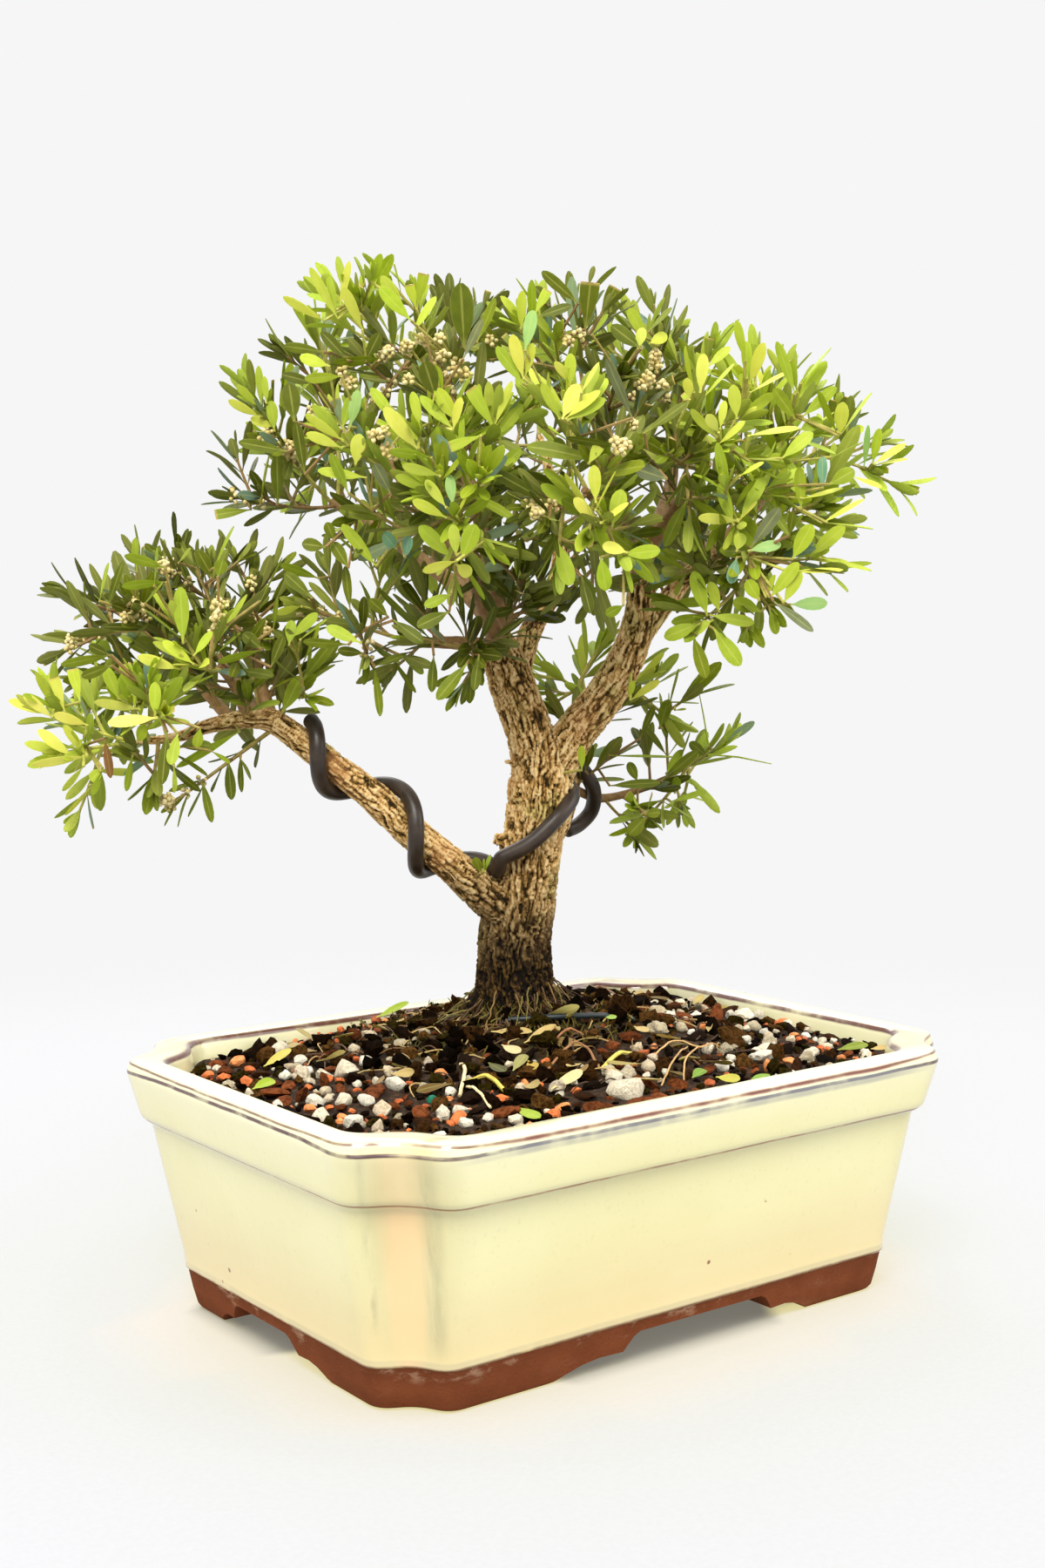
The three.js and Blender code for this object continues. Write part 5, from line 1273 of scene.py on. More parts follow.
def side_shoots(shape, stem, age, rng, **habit):
    """Short shoots off a stem, rising to the light."""
    number = int(stem.length / SIDE_STEP + rng.random())
    for k in range(number):
        point, along, side, up = stem.frame(stem.length * (0.22 + 0.72 * (k + rng.random()) / number))
        turn = k * GOLDEN_ANGLE + rng.uniform(-0.6, 0.6)
        radial = side * math.cos(turn) + up * math.sin(turn)
        out = unit(along * 0.6 + radial * rng.uniform(0.6, 1.0) + UP * 0.35)
        tip = point + unit(out + UP * 0.3) * rng.uniform(*SIDE_LENGTH)
        shoot_age = min(1, age + rng.uniform(0.0, 0.22))
        grow(shape, stem_to(point, out, tip), shoot_age, rng, bare=0.16, thick=0.55, **habit)


SIDE_STEP = 9.5
SIDE_LENGTH = (7, 14)
INNER_LENGTH = (9, 18)
SPRAY_AGE = 0.12
TIP_REACH = 2.0
LIMB_PATHS = {name: smooth_path(knots, 5) for name, knots in LIMBS.items()}
INNER_START = 0.4
INNER_STEP = 5.4
PAD_INNER_START = 0.06
PAD_INNER_STEP = 4.4
HANGING_ROOT = (-74, 3, 162)
HANGING_HABIT = {"size": 0.68, "droop": 1.6}
# Share of sheared leaves below and above a height, and where along a spray's first stem the others leave it
SHEARED = (0.04, 0.16)
SHEARED_Z = 235
FORK_AT = 0.42


def inner_shoots(shape, name, rng):
    """Old leafy shoots that fill the crown along a bough. Their dark old tones are partly painted shade deep
    in the crown.
    """
    stem = Stem(LIMB_PATHS[name][0])
    start, step = (PAD_INNER_START, PAD_INNER_STEP) if name.startswith("pad") else (INNER_START, INNER_STEP)
    distance = stem.length * start
    while distance < stem.length:
        point, along, side, up = stem.frame(distance)
        turn = rng.uniform(0, 2 * math.pi)
        out = unit(along * 0.4 + side * math.cos(turn) + up * math.sin(turn))
        tip = point + unit(out + UP * 0.4) * rng.uniform(*INNER_LENGTH)
        # old, dark ages: partly real age, partly painted shade deep in the crown
        grow(shape, stem_to(point, out, tip), rng.uniform(0.6, 0.95), rng, bare=0.2, thick=0.55)
        distance += step * rng.uniform(0.7, 1.3)


# Heads of buds that the photograph shows
SHOWN_BUDS = (
    (446, 404), (468, 396), (489, 393), (505, 389), (510, 408), (524, 416), (394, 425), (469, 436),
    (535, 434), (360, 472), (307, 497), (430, 500), (446, 517), (564, 391), (616, 590), (665, 385),
    (726, 488), (717, 511), (744, 438), (760, 444), (752, 408), (152, 692), (144, 709), (82, 734),
    (188, 650), (288, 672), (249, 698), (251, 709), (303, 724), (193, 918),
)
BUD_REACH = 8.0
BUD_RISE = 4.5


def stem_behind(spots, ray, reach):
    """Number and depth of the stem point that lies nearest behind a pixel, if one is within reach."""
    offset = spots - CAMERA_AT
    depth = offset @ ray
    gaps = np.linalg.norm(offset - depth[:, None] * ray, axis=1)
    near = np.flatnonzero(gaps < reach)
    if not len(near):
        return None, 0
    best = near[np.argmin(depth[near] + 2.0 * gaps[near])]
    return best, depth[best]


def flower_at(shapes, pixel, spots, owners, rng):
    """A flowering twig from the nearest stem in front, out to where the photograph shows the buds."""
    ray = seen_ray(pixel)
    best, depth = stem_behind(spots, ray, BUD_REACH)
    if best is None:
        return
    root, shape = spots[best], shapes[owners[best]]
    tip = CAMERA_AT + ray * (depth - BUD_RISE)
    stem = stem_to(root, unit(tip - root + UP * 2), tip, 6)
    shape.tube(stem.points, 0.42, 6, TWIG_SLOT, TWIG_TONES[1][1])
    flower(shape, tip, unit(stem.along[-1] + UP), rng)


# Leaves that the photograph shows plainly: pixels of the stalk and of the tip, width in millimetres, age,
# and a tone or form of its own
SHOWN_LEAVES = (
    (388, 366, 357, 307, 3.2, 0.2), (372, 368, 325, 341, 2.8, 0.15), (386, 356, 378, 317, 2.4, 0.3),
    (390, 352, 402, 300, 3.2, 0.15), (415, 352, 414, 316, 1.4, 0.3), (416, 356, 434, 313, 2.6, 0.3),
    (416, 378, 394, 330, 4.2, 0.15), (464, 354, 437, 317, 4.6, 0.25), (472, 368, 436, 330, 5.0, 0.45),
    (478, 354, 470, 327, 3.6, 0.3, "cut"), (479, 352, 487, 314, 4.4, 0.4, "cut"),
    (474, 382, 500, 340, 3.2, 0.35), (489, 386, 511, 337, 2.2, 0.8), (533, 400, 529, 325, 8.4, 0.92),
    (532, 412, 553, 366, 3.4, 0.8, "grey"), (548, 392, 570, 343, 3.6, 0.7), (400, 414, 369, 381, 4.4, 0.98),
    (442, 411, 382, 416, 2.8, 0.7), (420, 414, 436, 382, 4.6, 0.95), (372, 404, 326, 397, 3.8, 0.9),
    (378, 420, 344, 410, 4.6, 0.3), (392, 432, 350, 434, 3.2, 0.4), (362, 440, 324, 430, 3.8, 0.95),
    (338, 484, 332, 440, 6.6, 0.95), (500, 456, 487, 415, 6.6, 0.95),
    (402, 490, 411, 448, 4.2, 0.35, "pale"), (393, 492, 403, 454, 3.8, 0.5), (480, 516, 441, 468, 5.2, 0.1),
    (483, 490, 473, 450, 3.4, 0.3), (520, 492, 482, 455, 4.0, 0.3), (526, 484, 500, 446, 5.2, 0.3),
    (520, 494, 529, 456, 3.2, 0.15), (568, 492, 540, 446, 5.0, 0.35, "cut"), (568, 488, 588, 438, 3.0, 0.2),
    (568, 502, 600, 464, 4.6, 0.4), (394, 506, 350, 476, 3.2, 0.2), (392, 514, 352, 497, 3.4, 0.15),
    (408, 534, 413, 498, 5.4, 0.15), (552, 500, 516, 513, 3.4, 0.3, "cut"),
    (603, 402, 612, 356, 4.4, 0.35, "pale"), (598, 378, 600, 334, 3.4, 0.25),
    (614, 360, 629, 333, 3.8, 0.3, "cut"), (616, 364, 656, 351, 3.8, 0.95), (630, 350, 614, 329, 4.4, 0.95),
    (664, 348, 622, 312, 4.4, 0.9), (672, 378, 678, 324, 7.2, 0.9, "cut"), (680, 384, 698, 361, 2.2, 0.6),
    (601, 434, 588, 384, 4.4, 0.1), (603, 432, 613, 394, 3.4, 0.2), (600, 440, 570, 398, 4.2, 0.4),
    (660, 442, 637, 416, 2.8, 0.05), (655, 442, 655, 406, 4.0, 0.3), (668, 450, 688, 416, 2.4, 0.15),
    (646, 480, 664, 441, 5.4, 0.1), (650, 480, 688, 448, 3.6, 0.15), (652, 482, 695, 458, 4.0, 0.35),
    (642, 480, 622, 440, 3.2, 0.3), (726, 480, 696, 412, 3.4, 0.8, "grey"), (736, 400, 702, 374, 5.4, 0.92),
    (741, 388, 722, 354, 4.4, 0.35), (745, 380, 771, 353, 2.4, 0.75), (733, 400, 738, 376, 3.8, 0.15),
    (746, 394, 766, 384, 4.4, 0.2), (804, 450, 808, 406, 4.4, 0.1), (812, 422, 838, 398, 3.2, 0.25),
    (797, 450, 784, 398, 1.8, 0.3), (792, 458, 789, 434, 3.4, 0.12), (806, 458, 844, 418, 2.0, 0.25),
    (846, 480, 842, 442, 4.6, 0.2), (827, 492, 832, 460, 3.0, 0.15), (825, 496, 812, 476, 3.8, 0.1),
    (822, 502, 793, 470, 2.8, 0.2), (825, 510, 856, 484, 3.0, 0.2), (856, 414, 845, 368, 2.8, 0.3),
    (766, 550, 730, 538, 5.6, 0.85, "grey"), (714, 513, 650, 503, 2.0, 0.9),
    (740, 497, 789, 462, 3.6, 0.85), (684, 576, 682, 534, 4.4, 0.2), (676, 532, 688, 512, 4.0, 0.25, "cut"),
    (683, 598, 659, 572, 4.2, 0.08), (680, 592, 651, 543, 1.4, 0.2), (684, 585, 705, 541, 1.2, 0.2),
    (703, 604, 714, 562, 5.6, 0.35), (690, 600, 722, 578, 3.0, 0.1), (716, 636, 758, 632, 5.0, 0.45),
    (720, 634, 692, 626, 4.4, 0.1), (690, 640, 696, 678, 5.2, 0.5), (668, 662, 678, 704, 4.2, 0.98),
    (664, 656, 681, 688, 4.8, 0.95), (640, 622, 655, 672, 6.0, 0.35), (716, 695, 696, 706, 3.0, 0.6),
    (812, 706, 796, 656, 5.6, 0.45), (826, 702, 815, 668, 4.4, 0.35), (803, 716, 763, 732, 5.4, 0.5),
    (818, 712, 792, 726, 4.6, 0.3), (820, 722, 850, 764, 6.2, 0.45), (796, 730, 811, 778, 5.0, 0.7),
    (816, 706, 866, 716, 4.4, 0.4), (858, 722, 852, 738, 3.0, 0.65), (846, 640, 839, 670, 4.2, 0.5, "blue"),
    (848, 598, 802, 594, 3.4, 0.12), (847, 596, 823, 556, 2.0, 0.15), (850, 596, 878, 548, 4.6, 0.3),
    (848, 598, 869, 576, 1.6, 0.1), (842, 602, 826, 556, 4.4, 0.45), (846, 632, 852, 612, 4.4, 0.25),
    (860, 500, 917, 488, 3.0, 0.15), (874, 702, 842, 690, 5.6, 0.5), (872, 690, 858, 666, 5.0, 0.5),
    (862, 628, 896, 584, 5.0, 0.85, "grey"), (860, 632, 897, 624, 4.2, 0.35, "pale"),
    (910, 642, 932, 602, 5.8, 0.45), (930, 638, 970, 604, 5.4, 0.3), (942, 640, 1001, 656, 2.8, 0.3),
    (950, 600, 1003, 605, 1.6, 0.35), (944, 600, 993, 574, 3.0, 0.15), (905, 656, 968, 656, 2.8, 0.15),
    (920, 650, 969, 660, 1.2, 0.85), (906, 615, 912, 588, 3.2, 0.9), (884, 686, 918, 646, 5.2, 0.35),
    (900, 692, 920, 656, 4.4, 0.3), (908, 694, 950, 692, 5.0, 0.5, "pale"),
    (888, 690, 934, 724, 3.6, 0.9, "grey"), (884, 700, 892, 728, 3.8, 0.55), (880, 686, 890, 660, 2.6, 0.3),
    (861, 440, 877, 394, 4.6, 0.15), (858, 434, 857, 392, 3.8, 0.4), (862, 450, 908, 425, 2.4, 0.2),
    (898, 526, 933, 496, 4.6, 0.3), (913, 452, 893, 392, 3.6, 0.4), (915, 450, 910, 412, 2.4, 0.45),
    (918, 456, 949, 415, 4.4, 0.4), (920, 440, 952, 398, 2.0, 0.4), (914, 482, 888, 446, 4.6, 0.6),
    (922, 478, 960, 444, 4.4, 0.55), (918, 494, 944, 482, 5.0, 0.5), (962, 500, 941, 448, 1.2, 0.5),
    (964, 500, 968, 462, 5.0, 0.2), (966, 498, 1000, 450, 1.8, 0.3), (955, 525, 990, 506, 1.2, 0.3),
    (992, 536, 999, 488, 3.0, 0.4, "pale"), (1002, 532, 1010, 492, 3.8, 0.4),
    (1004, 532, 1040, 510, 3.6, 0.1), (1002, 534, 1042, 526, 2.0, 0.1), (978, 546, 1012, 561, 2.4, 0.25),
    (952, 556, 981, 540, 5.6, 0.6), (945, 560, 944, 524, 3.6, 0.4, "blue"), (920, 585, 918, 536, 4.2, 0.45),
    (922, 572, 968, 561, 2.8, 0.15), (850, 546, 876, 530, 2.8, 0.25), (299, 468, 272, 442, 2.8, 0.3),
    (298, 478, 262, 460, 2.8, 0.15), (300, 466, 297, 420, 3.0, 0.3), (306, 462, 304, 432, 2.8, 0.3),
    (315, 494, 311, 460, 4.4, 0.35), (314, 490, 288, 480, 4.2, 0.2), (330, 518, 274, 508, 4.2, 0.88),
    (319, 580, 318, 522, 5.2, 0.88), (299, 576, 308, 522, 1.2, 0.65), (288, 585, 247, 591, 4.2, 0.7, "cut"),
    (299, 690, 324, 640, 0.9, 0.6), (314, 722, 318, 685, 2.2, 0.7), (350, 545, 340, 484, 4.2, 0.95),
    (400, 566, 380, 520, 3.4, 0.55), (420, 548, 365, 541, 4.0, 0.4),
    (448, 566, 430, 532, 4.4, 0.85, "grey"), (495, 525, 447, 518, 3.0, 0.5),
    (505, 546, 462, 534, 2.8, 0.25), (512, 582, 489, 551, 3.4, 0.2),
    (520, 580, 516, 545, 3.6, 0.35, "pale"), (512, 594, 474, 574, 3.4, 0.25),
    (524, 592, 536, 570, 1.6, 0.2), (518, 640, 482, 604, 5.6, 0.35), (524, 638, 520, 602, 4.0, 0.25),
    (530, 642, 546, 602, 6.0, 0.45), (524, 644, 485, 655, 2.6, 0.15), (524, 648, 541, 660, 4.8, 0.15),
    (518, 682, 488, 696, 4.0, 0.5), (516, 702, 479, 720, 5.0, 0.9), (452, 712, 486, 738, 4.6, 0.9),
    (358, 686, 327, 658, 4.6, 0.88), (366, 664, 322, 648, 3.0, 0.65), (402, 700, 397, 650, 3.4, 0.9),
    (446, 708, 424, 688, 4.0, 0.88), (432, 650, 393, 602, 4.4, 0.4), (436, 656, 438, 614, 3.6, 0.3),
    (384, 620, 375, 600, 3.6, 0.85), (374, 628, 347, 624, 5.0, 0.88), (400, 652, 382, 622, 4.6, 0.85),
    (455, 630, 440, 612, 5.0, 0.5, "blue"), (465, 640, 470, 615, 3.6, 0.5, "blue"),
    (346, 696, 317, 703, 1.8, 0.15), (332, 740, 335, 712, 4.0, 0.4), (335, 732, 364, 704, 4.0, 0.35),
    (345, 734, 375, 710, 2.0, 0.45), (414, 738, 375, 720, 4.6, 0.3), (400, 740, 348, 737, 2.6, 0.75),
    (418, 750, 388, 746, 3.0, 0.88), (324, 818, 346, 776, 5.6, 0.6), (312, 790, 342, 776, 1.8, 0.65),
    (311, 766, 326, 730, 3.8, 0.95), (430, 765, 437, 822, 3.0, 0.75), (455, 757, 451, 778, 1.8, 0.85),
    (498, 752, 496, 794, 3.6, 0.92), (536, 762, 502, 803, 5.0, 0.78), (550, 752, 544, 793, 3.8, 0.94),
    (430, 765, 465, 752, 3.2, 0.92), (157, 656, 155, 617, 2.2, 0.6), (190, 652, 143, 637, 3.2, 0.65),
    (123, 700, 140, 643, 3.2, 0.92), (114, 690, 124, 646, 0.9, 0.5), (177, 672, 182, 628, 0.9, 0.6),
    (190, 668, 140, 672, 2.4, 0.6), (166, 693, 188, 668, 2.0, 0.7), (205, 646, 218, 629, 2.0, 0.65),
    (245, 664, 227, 632, 4.8, 0.88), (246, 652, 268, 604, 1.8, 0.55), (250, 662, 256, 643, 4.8, 0.75),
    (210, 738, 207, 674, 5.6, 0.42), (223, 752, 244, 725, 3.6, 0.35), (222, 762, 187, 736, 3.8, 0.3),
    (206, 768, 158, 754, 4.2, 0.15), (128, 752, 70, 763, 2.4, 0.65), (126, 752, 102, 741, 3.2, 0.95),
    (128, 764, 94, 777, 3.4, 0.85), (136, 802, 121, 766, 4.4, 0.45), (157, 806, 143, 762, 4.6, 0.4, "cut"),
    (92, 806, 83, 768, 4.2, 0.35, "cut"), (74, 816, 62, 778, 4.0, 0.15, "cut"),
    (60, 824, 27, 797, 3.2, 0.0), (62, 824, 12, 821, 1.8, 0.0), (100, 832, 62, 820, 3.4, 0.05),
    (180, 824, 124, 830, 4.6, 0.02), (178, 822, 178, 783, 4.2, 0.4), (160, 814, 108, 806, 3.2, 0.1),
    (100, 868, 73, 832, 2.8, 0.2), (82, 868, 44, 838, 4.4, 0.05), (100, 868, 36, 878, 2.6, 0.05),
    (96, 880, 72, 908, 1.6, 0.2), (106, 902, 75, 936, 1.0, 0.2), (116, 886, 106, 912, 2.0, 0.35),
    (120, 848, 128, 893, 3.4, 1.0, "dead"), (118, 882, 104, 896, 4.4, 0.4), (152, 868, 144, 908, 2.4, 0.6),
    (192, 840, 186, 900, 4.4, 0.94), (204, 842, 196, 878, 4.4, 0.45), (200, 880, 200, 910, 1.8, 0.35),
    (275, 840, 202, 880, 2.6, 0.55), (230, 836, 226, 858, 3.4, 0.6), (262, 872, 266, 918, 4.0, 0.92),
    (276, 870, 288, 895, 2.0, 0.75), (232, 896, 243, 944, 3.4, 0.75), (243, 862, 264, 876, 2.4, 0.6),
    (300, 745, 279, 727, 4.6, 0.95), (300, 746, 250, 760, 1.8, 0.6), (722, 800, 728, 782, 3.0, 0.3),
    (724, 804, 757, 781, 3.4, 0.15), (757, 836, 768, 803, 5.2, 0.75), (735, 848, 751, 810, 3.2, 0.85),
    (775, 815, 788, 814, 0.9, 0.2), (760, 896, 802, 862, 4.4, 0.8), (812, 868, 792, 852, 4.2, 0.85),
    (812, 866, 833, 848, 1.4, 0.8), (814, 857, 802, 791, 0.5, 0.6, "thin"),
    (812, 866, 886, 877, 0.6, 0.55, "thin"), (765, 888, 783, 860, 3.8, 0.45),
    (700, 867, 775, 870, 2.2, 0.6), (732, 897, 722, 875, 4.0, 0.78), (700, 902, 758, 898, 4.0, 0.85),
    (770, 920, 812, 910, 3.4, 0.35), (762, 920, 797, 940, 1.4, 0.6), (742, 938, 722, 958, 6.0, 0.75),
    (740, 935, 758, 932, 4.2, 0.75), (775, 910, 778, 892, 3.8, 0.5), (672, 885, 680, 855, 3.6, 0.85),
    (668, 884, 668, 856, 3.0, 0.4), (552, 1002, 546, 984, 3.0, 0.75), (557, 1000, 563, 981, 1.8, 0.55),
    (556, 1000, 555, 986, 1.0, 0.5),
)
LEAF_REACH = 16.0
LEAF_RISE = (3.5, 7.0)
SHOWN_TONES = {"grey": srgb(112, 120, 84), "pale": srgb(170, 206, 128), "blue": srgb(120, 166, 136),
    "dead": srgb(156, 108, 66)}
FULL_WIDTH = 3.0
SHOWN_SLIM = 0.77


def leaf_at(shapes, row, stems, owners, rng):
    """A leaf where the photograph shows it, on a twig from the nearest stem. A narrow one is seen edge on."""
    x, y, tip_x, tip_y, width, age, *style = row
    ray = seen_ray((x, y))
    best, depth = stem_behind(stems[:, :3], ray, LEAF_REACH)
    if best is None:
        return
    root, shape = stems[best, :3], shapes[owners[best]]
    away = depth - stems[best, 3] - rng.uniform(*LEAF_RISE)
    base = CAMERA_AT + ray * away
    tip = CAMERA_AT + seen_ray((tip_x, tip_y)) * (away + rng.uniform(-3, 2))
    stem = stem_to(root, unit(base - root + UP), base, 5)
    shape.tube(stem.points, 0.4, 6, TWIG_SLOT, tone_of(min(1, age + 0.1), TWIG_TONES))
    tone = jittered(SHOWN_TONES.get(style[0] if style else "", tone_of(age, LEAF_TONES)), rng, 0.08)
    if "thin" in style:
        middle = (base + tip) / 2 + UP * 0.6
        shape.tube(np.array([base, middle, tip]), (0.3, width / 2, width / 4), 5, TWIG_SLOT, tone)
        return
    direction = unit(tip - base)
    face = unit(0.3 * UP - ray - direction * (direction @ (0.3 * UP - ray)))
    full = max(width * SHOWN_SLIM, FULL_WIDTH)
    roll = math.acos(min(1, width * SHOWN_SLIM / full))
    face = face * math.cos(roll) + np.cross(face, direction) * math.sin(roll)
    cut = CUTS[1] if "cut" in style else 1
    length = np.linalg.norm(tip - base) / cut
    add_leaf(shape, base, direction, face, rng, length, full, age, rng.gauss(0, 0.03), rng.uniform(0, 0.08),
        rng.gauss(0, 0.12), tone, cut)


def make_foliage(looks):
    """One piece for the sprays of each limb."""
    shapes, owners = {}, []
    for limb, sprays in SPRAYS.items():
        shape = shapes[limb] = Shape()
        start = len(STEM_SPOTS)
        for name, tips in sprays.items():
            rng = random.Random(name)
            first = None
            for x, y, z, age, *habits in tips:
                age = SPRAY_AGE + (1 - SPRAY_AGE) * age
                tip = place((x, y, z))
                hanging = "hanging" in habits
                if hanging:
                    path = LIMB_PATHS[limb][0]
                    root = path[np.linalg.norm(path - place(HANGING_ROOT), axis=1).argmin()]
                    stem = stem_to(root, unit(tip - root), tip)
                elif first is None:
                    root, out = root_on(LIMB_PATHS[limb], tip)
                    stem = first = stem_to(root, out, tip + unit(tip - root) * TIP_REACH)
                else:
                    point, along, _, _ = first.frame(first.length * FORK_AT)
                    out = unit(unit(tip - point) + 0.6 * along)
                    stem = stem_to(point, out, tip + unit(tip - point) * TIP_REACH)
                habit = HANGING_HABIT if hanging else {"cut": SHEARED[z > SHEARED_Z]}
                grow(shape, stem, age, rng, "buds" in habits, **habit)
                if not hanging:
                    side_shoots(shape, stem, age, rng, **habit)
        if limb not in BARE_LIMBS:
            inner_shoots(shape, limb, random.Random(limb))
        owners += [limb] * (len(STEM_SPOTS) - start)
    spots, owners, rng = np.array(STEM_SPOTS), np.array(owners), random.Random(SHOWN_SEED)
    for pixel in SHOWN_BUDS:
        flower_at(shapes, pixel, spots, owners, rng)
    stems, owners = [np.column_stack([spots, np.zeros(len(spots))])], list(owners)
    for limb in SPRAYS:
        stems.append(np.column_stack(LIMB_PATHS[limb]))
        owners += [limb] * len(LIMB_PATHS[limb][0])
    stems = np.vstack(stems)
    for row in SHOWN_LEAVES:
        leaf_at(shapes, row, stems, owners, rng)
    for limb, sprays in SPRAYS.items():
        show_shape("leaves_" + limb, shapes[limb], looks, ["spray_" + name for name in sprays], 52)


# Wood
BARK_VOXEL = 0.53
BARK_DEPTH = (0.2, 1.4)
BARK_LEVEL = 0.62
# Heights between which the darker tone of the trunk's foot fades
FOOT_DARK_Z = (70, 130)
LIMB_SEED = 17.0
# A twig's stub and a knob: pixels of the root and the end, depth in the tree's frame, radius
STUBS = (((596, 879), (580, 873), 24, 0.9), ((584, 968), (568, 962), 22, 2.3),
    ((600, 900), (590, 905), 20, 1.6))
THICK_LIMBS = ("trunk", "left_limb", "right_limb", "right_fork", "rear_limb", "left_branch", "back_stem")


def nearest_limbs(points, names):
    """For each point: the limb sample it belongs to, as position round, along and radius."""
    rows = []
    for order, name in enumerate(names):
        path, radius = smooth_path(LIMBS[name], 10)
        _, side, up = frames_along(path)
        seed = np.full(len(path), order * LIMB_SEED)
        rows.append(np.column_stack([path, side, up, radius, lengths_along(path), seed]))
    rows = np.vstack(rows)
    spots, sides, ups, (radii, distances, seeds) = rows[:, :3], rows[:, 3:6], rows[:, 6:9], rows[:, 9:].T
    nearest = np.empty(len(points), int)
    for start in range(0, len(points), 4000):
        part = points[start:start + 4000]
        gaps = np.linalg.norm(part[:, None] - spots[None], axis=2) - radii[None]
        nearest[start:start + 4000] = gaps.argmin(1)
    offset = points - spots[nearest]
    turn = np.arctan2((offset * ups[nearest]).sum(1), (offset * sides[nearest]).sum(1))
    return turn, distances[nearest], radii[nearest], seeds[nearest]


def bark_relief(points, names):
    """Height of the corky bark at each point, 0 in a crack and 1 on a ridge, the limb's radius and the
    point's place round and along the limb."""
    turn, distance, radius, seed = nearest_limbs(points, names)
    girth = np.stack([np.cos(turn), np.sin(turn)], -1) * radius[:, None]
    sway = np.stack([noise_at(points / 5 + 7), noise_at(points / 5 + 31), noise_at(points / 4 + 53)], -1)

    def strands(across, length, shift):
        spots = np.column_stack([girth / across, distance / length]) + seed[:, None] + shift \
            + sway * np.array([1.3, 1.3, 1.1]) / across * 0.9
        return noise_at(spots)

    broad = np.abs(strands(1.5, 7.5, 0))
    narrow = np.abs(strands(0.8, 4, 40))
    flakes = np.abs(strands(1.2, 2.2, 80))
    ridge = smoothstep(broad, 0.0, 0.24) * (0.5 + 0.5 * smoothstep(narrow, 0.0, 0.26))
    relief = ridge * (0.6 + 0.4 * smoothstep(flakes, 0.0, 0.2)) + 0.25 * strands(0.7, 1.7, 120)
    return np.clip(relief, 0, 1), radius, np.column_stack([girth, distance])


def make_wood(look, twig):
    shape = Shape()
    for name in THICK_LIMBS:
        shape.tube(*smooth_path(LIMBS[name], 6), 28)
    x, y = LIMBS["trunk"][0][:2]
    for turn, reach in ROOTS:
        a = math.radians(turn)
        spots = [(x + (reach * part + out) * math.cos(a), y + (reach * part + out) * math.sin(a), z, radius)
            for part, out, z, radius in ROOT_SPOTS]
        shape.tube(*smooth_path(spots, 5), 16)
    for start, end, depth, radius in STUBS:
        ends = seen_at(start, depth), seen_at(end, depth)
        shape.tube(np.linspace(*ends, 4), np.linspace(radius, 0.7 * radius, 4), 12)
    raw = make_mesh("raw_wood", np.vstack(shape.points), shape.faces, 1)
    skin_mesh = evaluated(raw, ("REMESH", {"mode": "VOXEL", "voxel_size": BARK_VOXEL}),
        ("SMOOTH", {"factor": 0.6, "iterations": 6}))
    points = coordinates(skin_mesh)
    normals = coordinates(skin_mesh, "normal")
    relief, radius, grain = bark_relief(points, THICK_LIMBS)
    depth = np.clip(0.15 * radius, *BARK_DEPTH)
    flutes = 0.07 * radius * noise_at(points / np.array([8, 8, 24]))
    points += normals * ((relief - BARK_LEVEL) * depth + flutes)[:, None]
    skin_mesh.vertices.foreach_set("co", (points * MM).astype(np.float32).ravel())
    height = np.clip((points[:, 2] - FOOT_DARK_Z[0]) / (FOOT_DARK_Z[1] - FOOT_DARK_Z[0]), 0, 1)
    paint(skin_mesh, "mark", np.column_stack([relief, height, np.ones(len(points))]))
    skin_mesh.attributes.new("grain", "FLOAT_VECTOR", "POINT").data.foreach_set("vector",
        (grain * MM).astype(np.float32).ravel())
    dress(skin_mesh, [look], 80)
    show("bark", skin_mesh, ["trunk"])
    boughs = Shape()
    rng = random.Random(BOUGH_SEED)
    for name in LIMBS:
        if name not in THICK_LIMBS:
            path, radii = smooth_path(LIMBS[name], 8)
            radii = radii * (1 + 0.08 * noise_at(path / 3))
            boughs.tube(path, radii, 12, 0, jittered(srgb(150, 116, 70), rng, 0.1))
    show_shape("boughs", boughs, [twig])


# Wires
def training_path():
    """Two turns round the left branch, then over the trunk's front and once round the stem behind."""
    branch, radii = smooth_path(LIMBS["left_branch"], 12)
    first, last = (np.linalg.norm(branch - place(spot), axis=1).argmin() for spot in WIRE_ON_BRANCH)
    path = []
    for part in np.linspace(0, 1, WIRE_TURNS * 40 + 1):
        at = first + (last - first) * ((1 - WIRE_EASE) * part + WIRE_EASE * part * part)
        i = min(int(at), len(branch) - 2)
        centre = branch[i] + (branch[i + 1] - branch[i]) * (at - i)
        along = unit(branch[max(i - 6, 0)] - branch[min(i + 6, len(branch) - 1)])
        front = place((0, -1, 0)) - place((0, 0, 0))
        front = unit(front - along * (front @ along))
        angle = math.pi / 2 - part * WIRE_TURNS * 2 * math.pi
        reach = radii[i] + WIRE_RADIUS + WIRE_BITE
        path.append(centre + reach * (front * math.cos(angle) + np.cross(front, along) * math.sin(angle)))
    over = smooth_path([(*spot, WIRE_RADIUS) for spot in WIRE_OVER_TRUNK], 10)[0]
    return np.vstack([path, smooth_joint(path[-1], path[-2], over[0], over[1]), over])


def smooth_joint(end, before, start, after, steps=10):
    """Points that lead smoothly from one path's end to the next one's start."""
    span = np.linalg.norm(start - end)
    leave, arrive = unit(end - before) * span, unit(after - start) * span
    t = np.linspace(0, 1, steps + 2)[1:-1, None]
    return (2 * t**3 - 3 * t**2 + 1) * end + (t**3 - 2 * t**2 + t) * leave + (3 * t**2 - 2 * t**3) * start \
        + (t**3 - t**2) * arrive


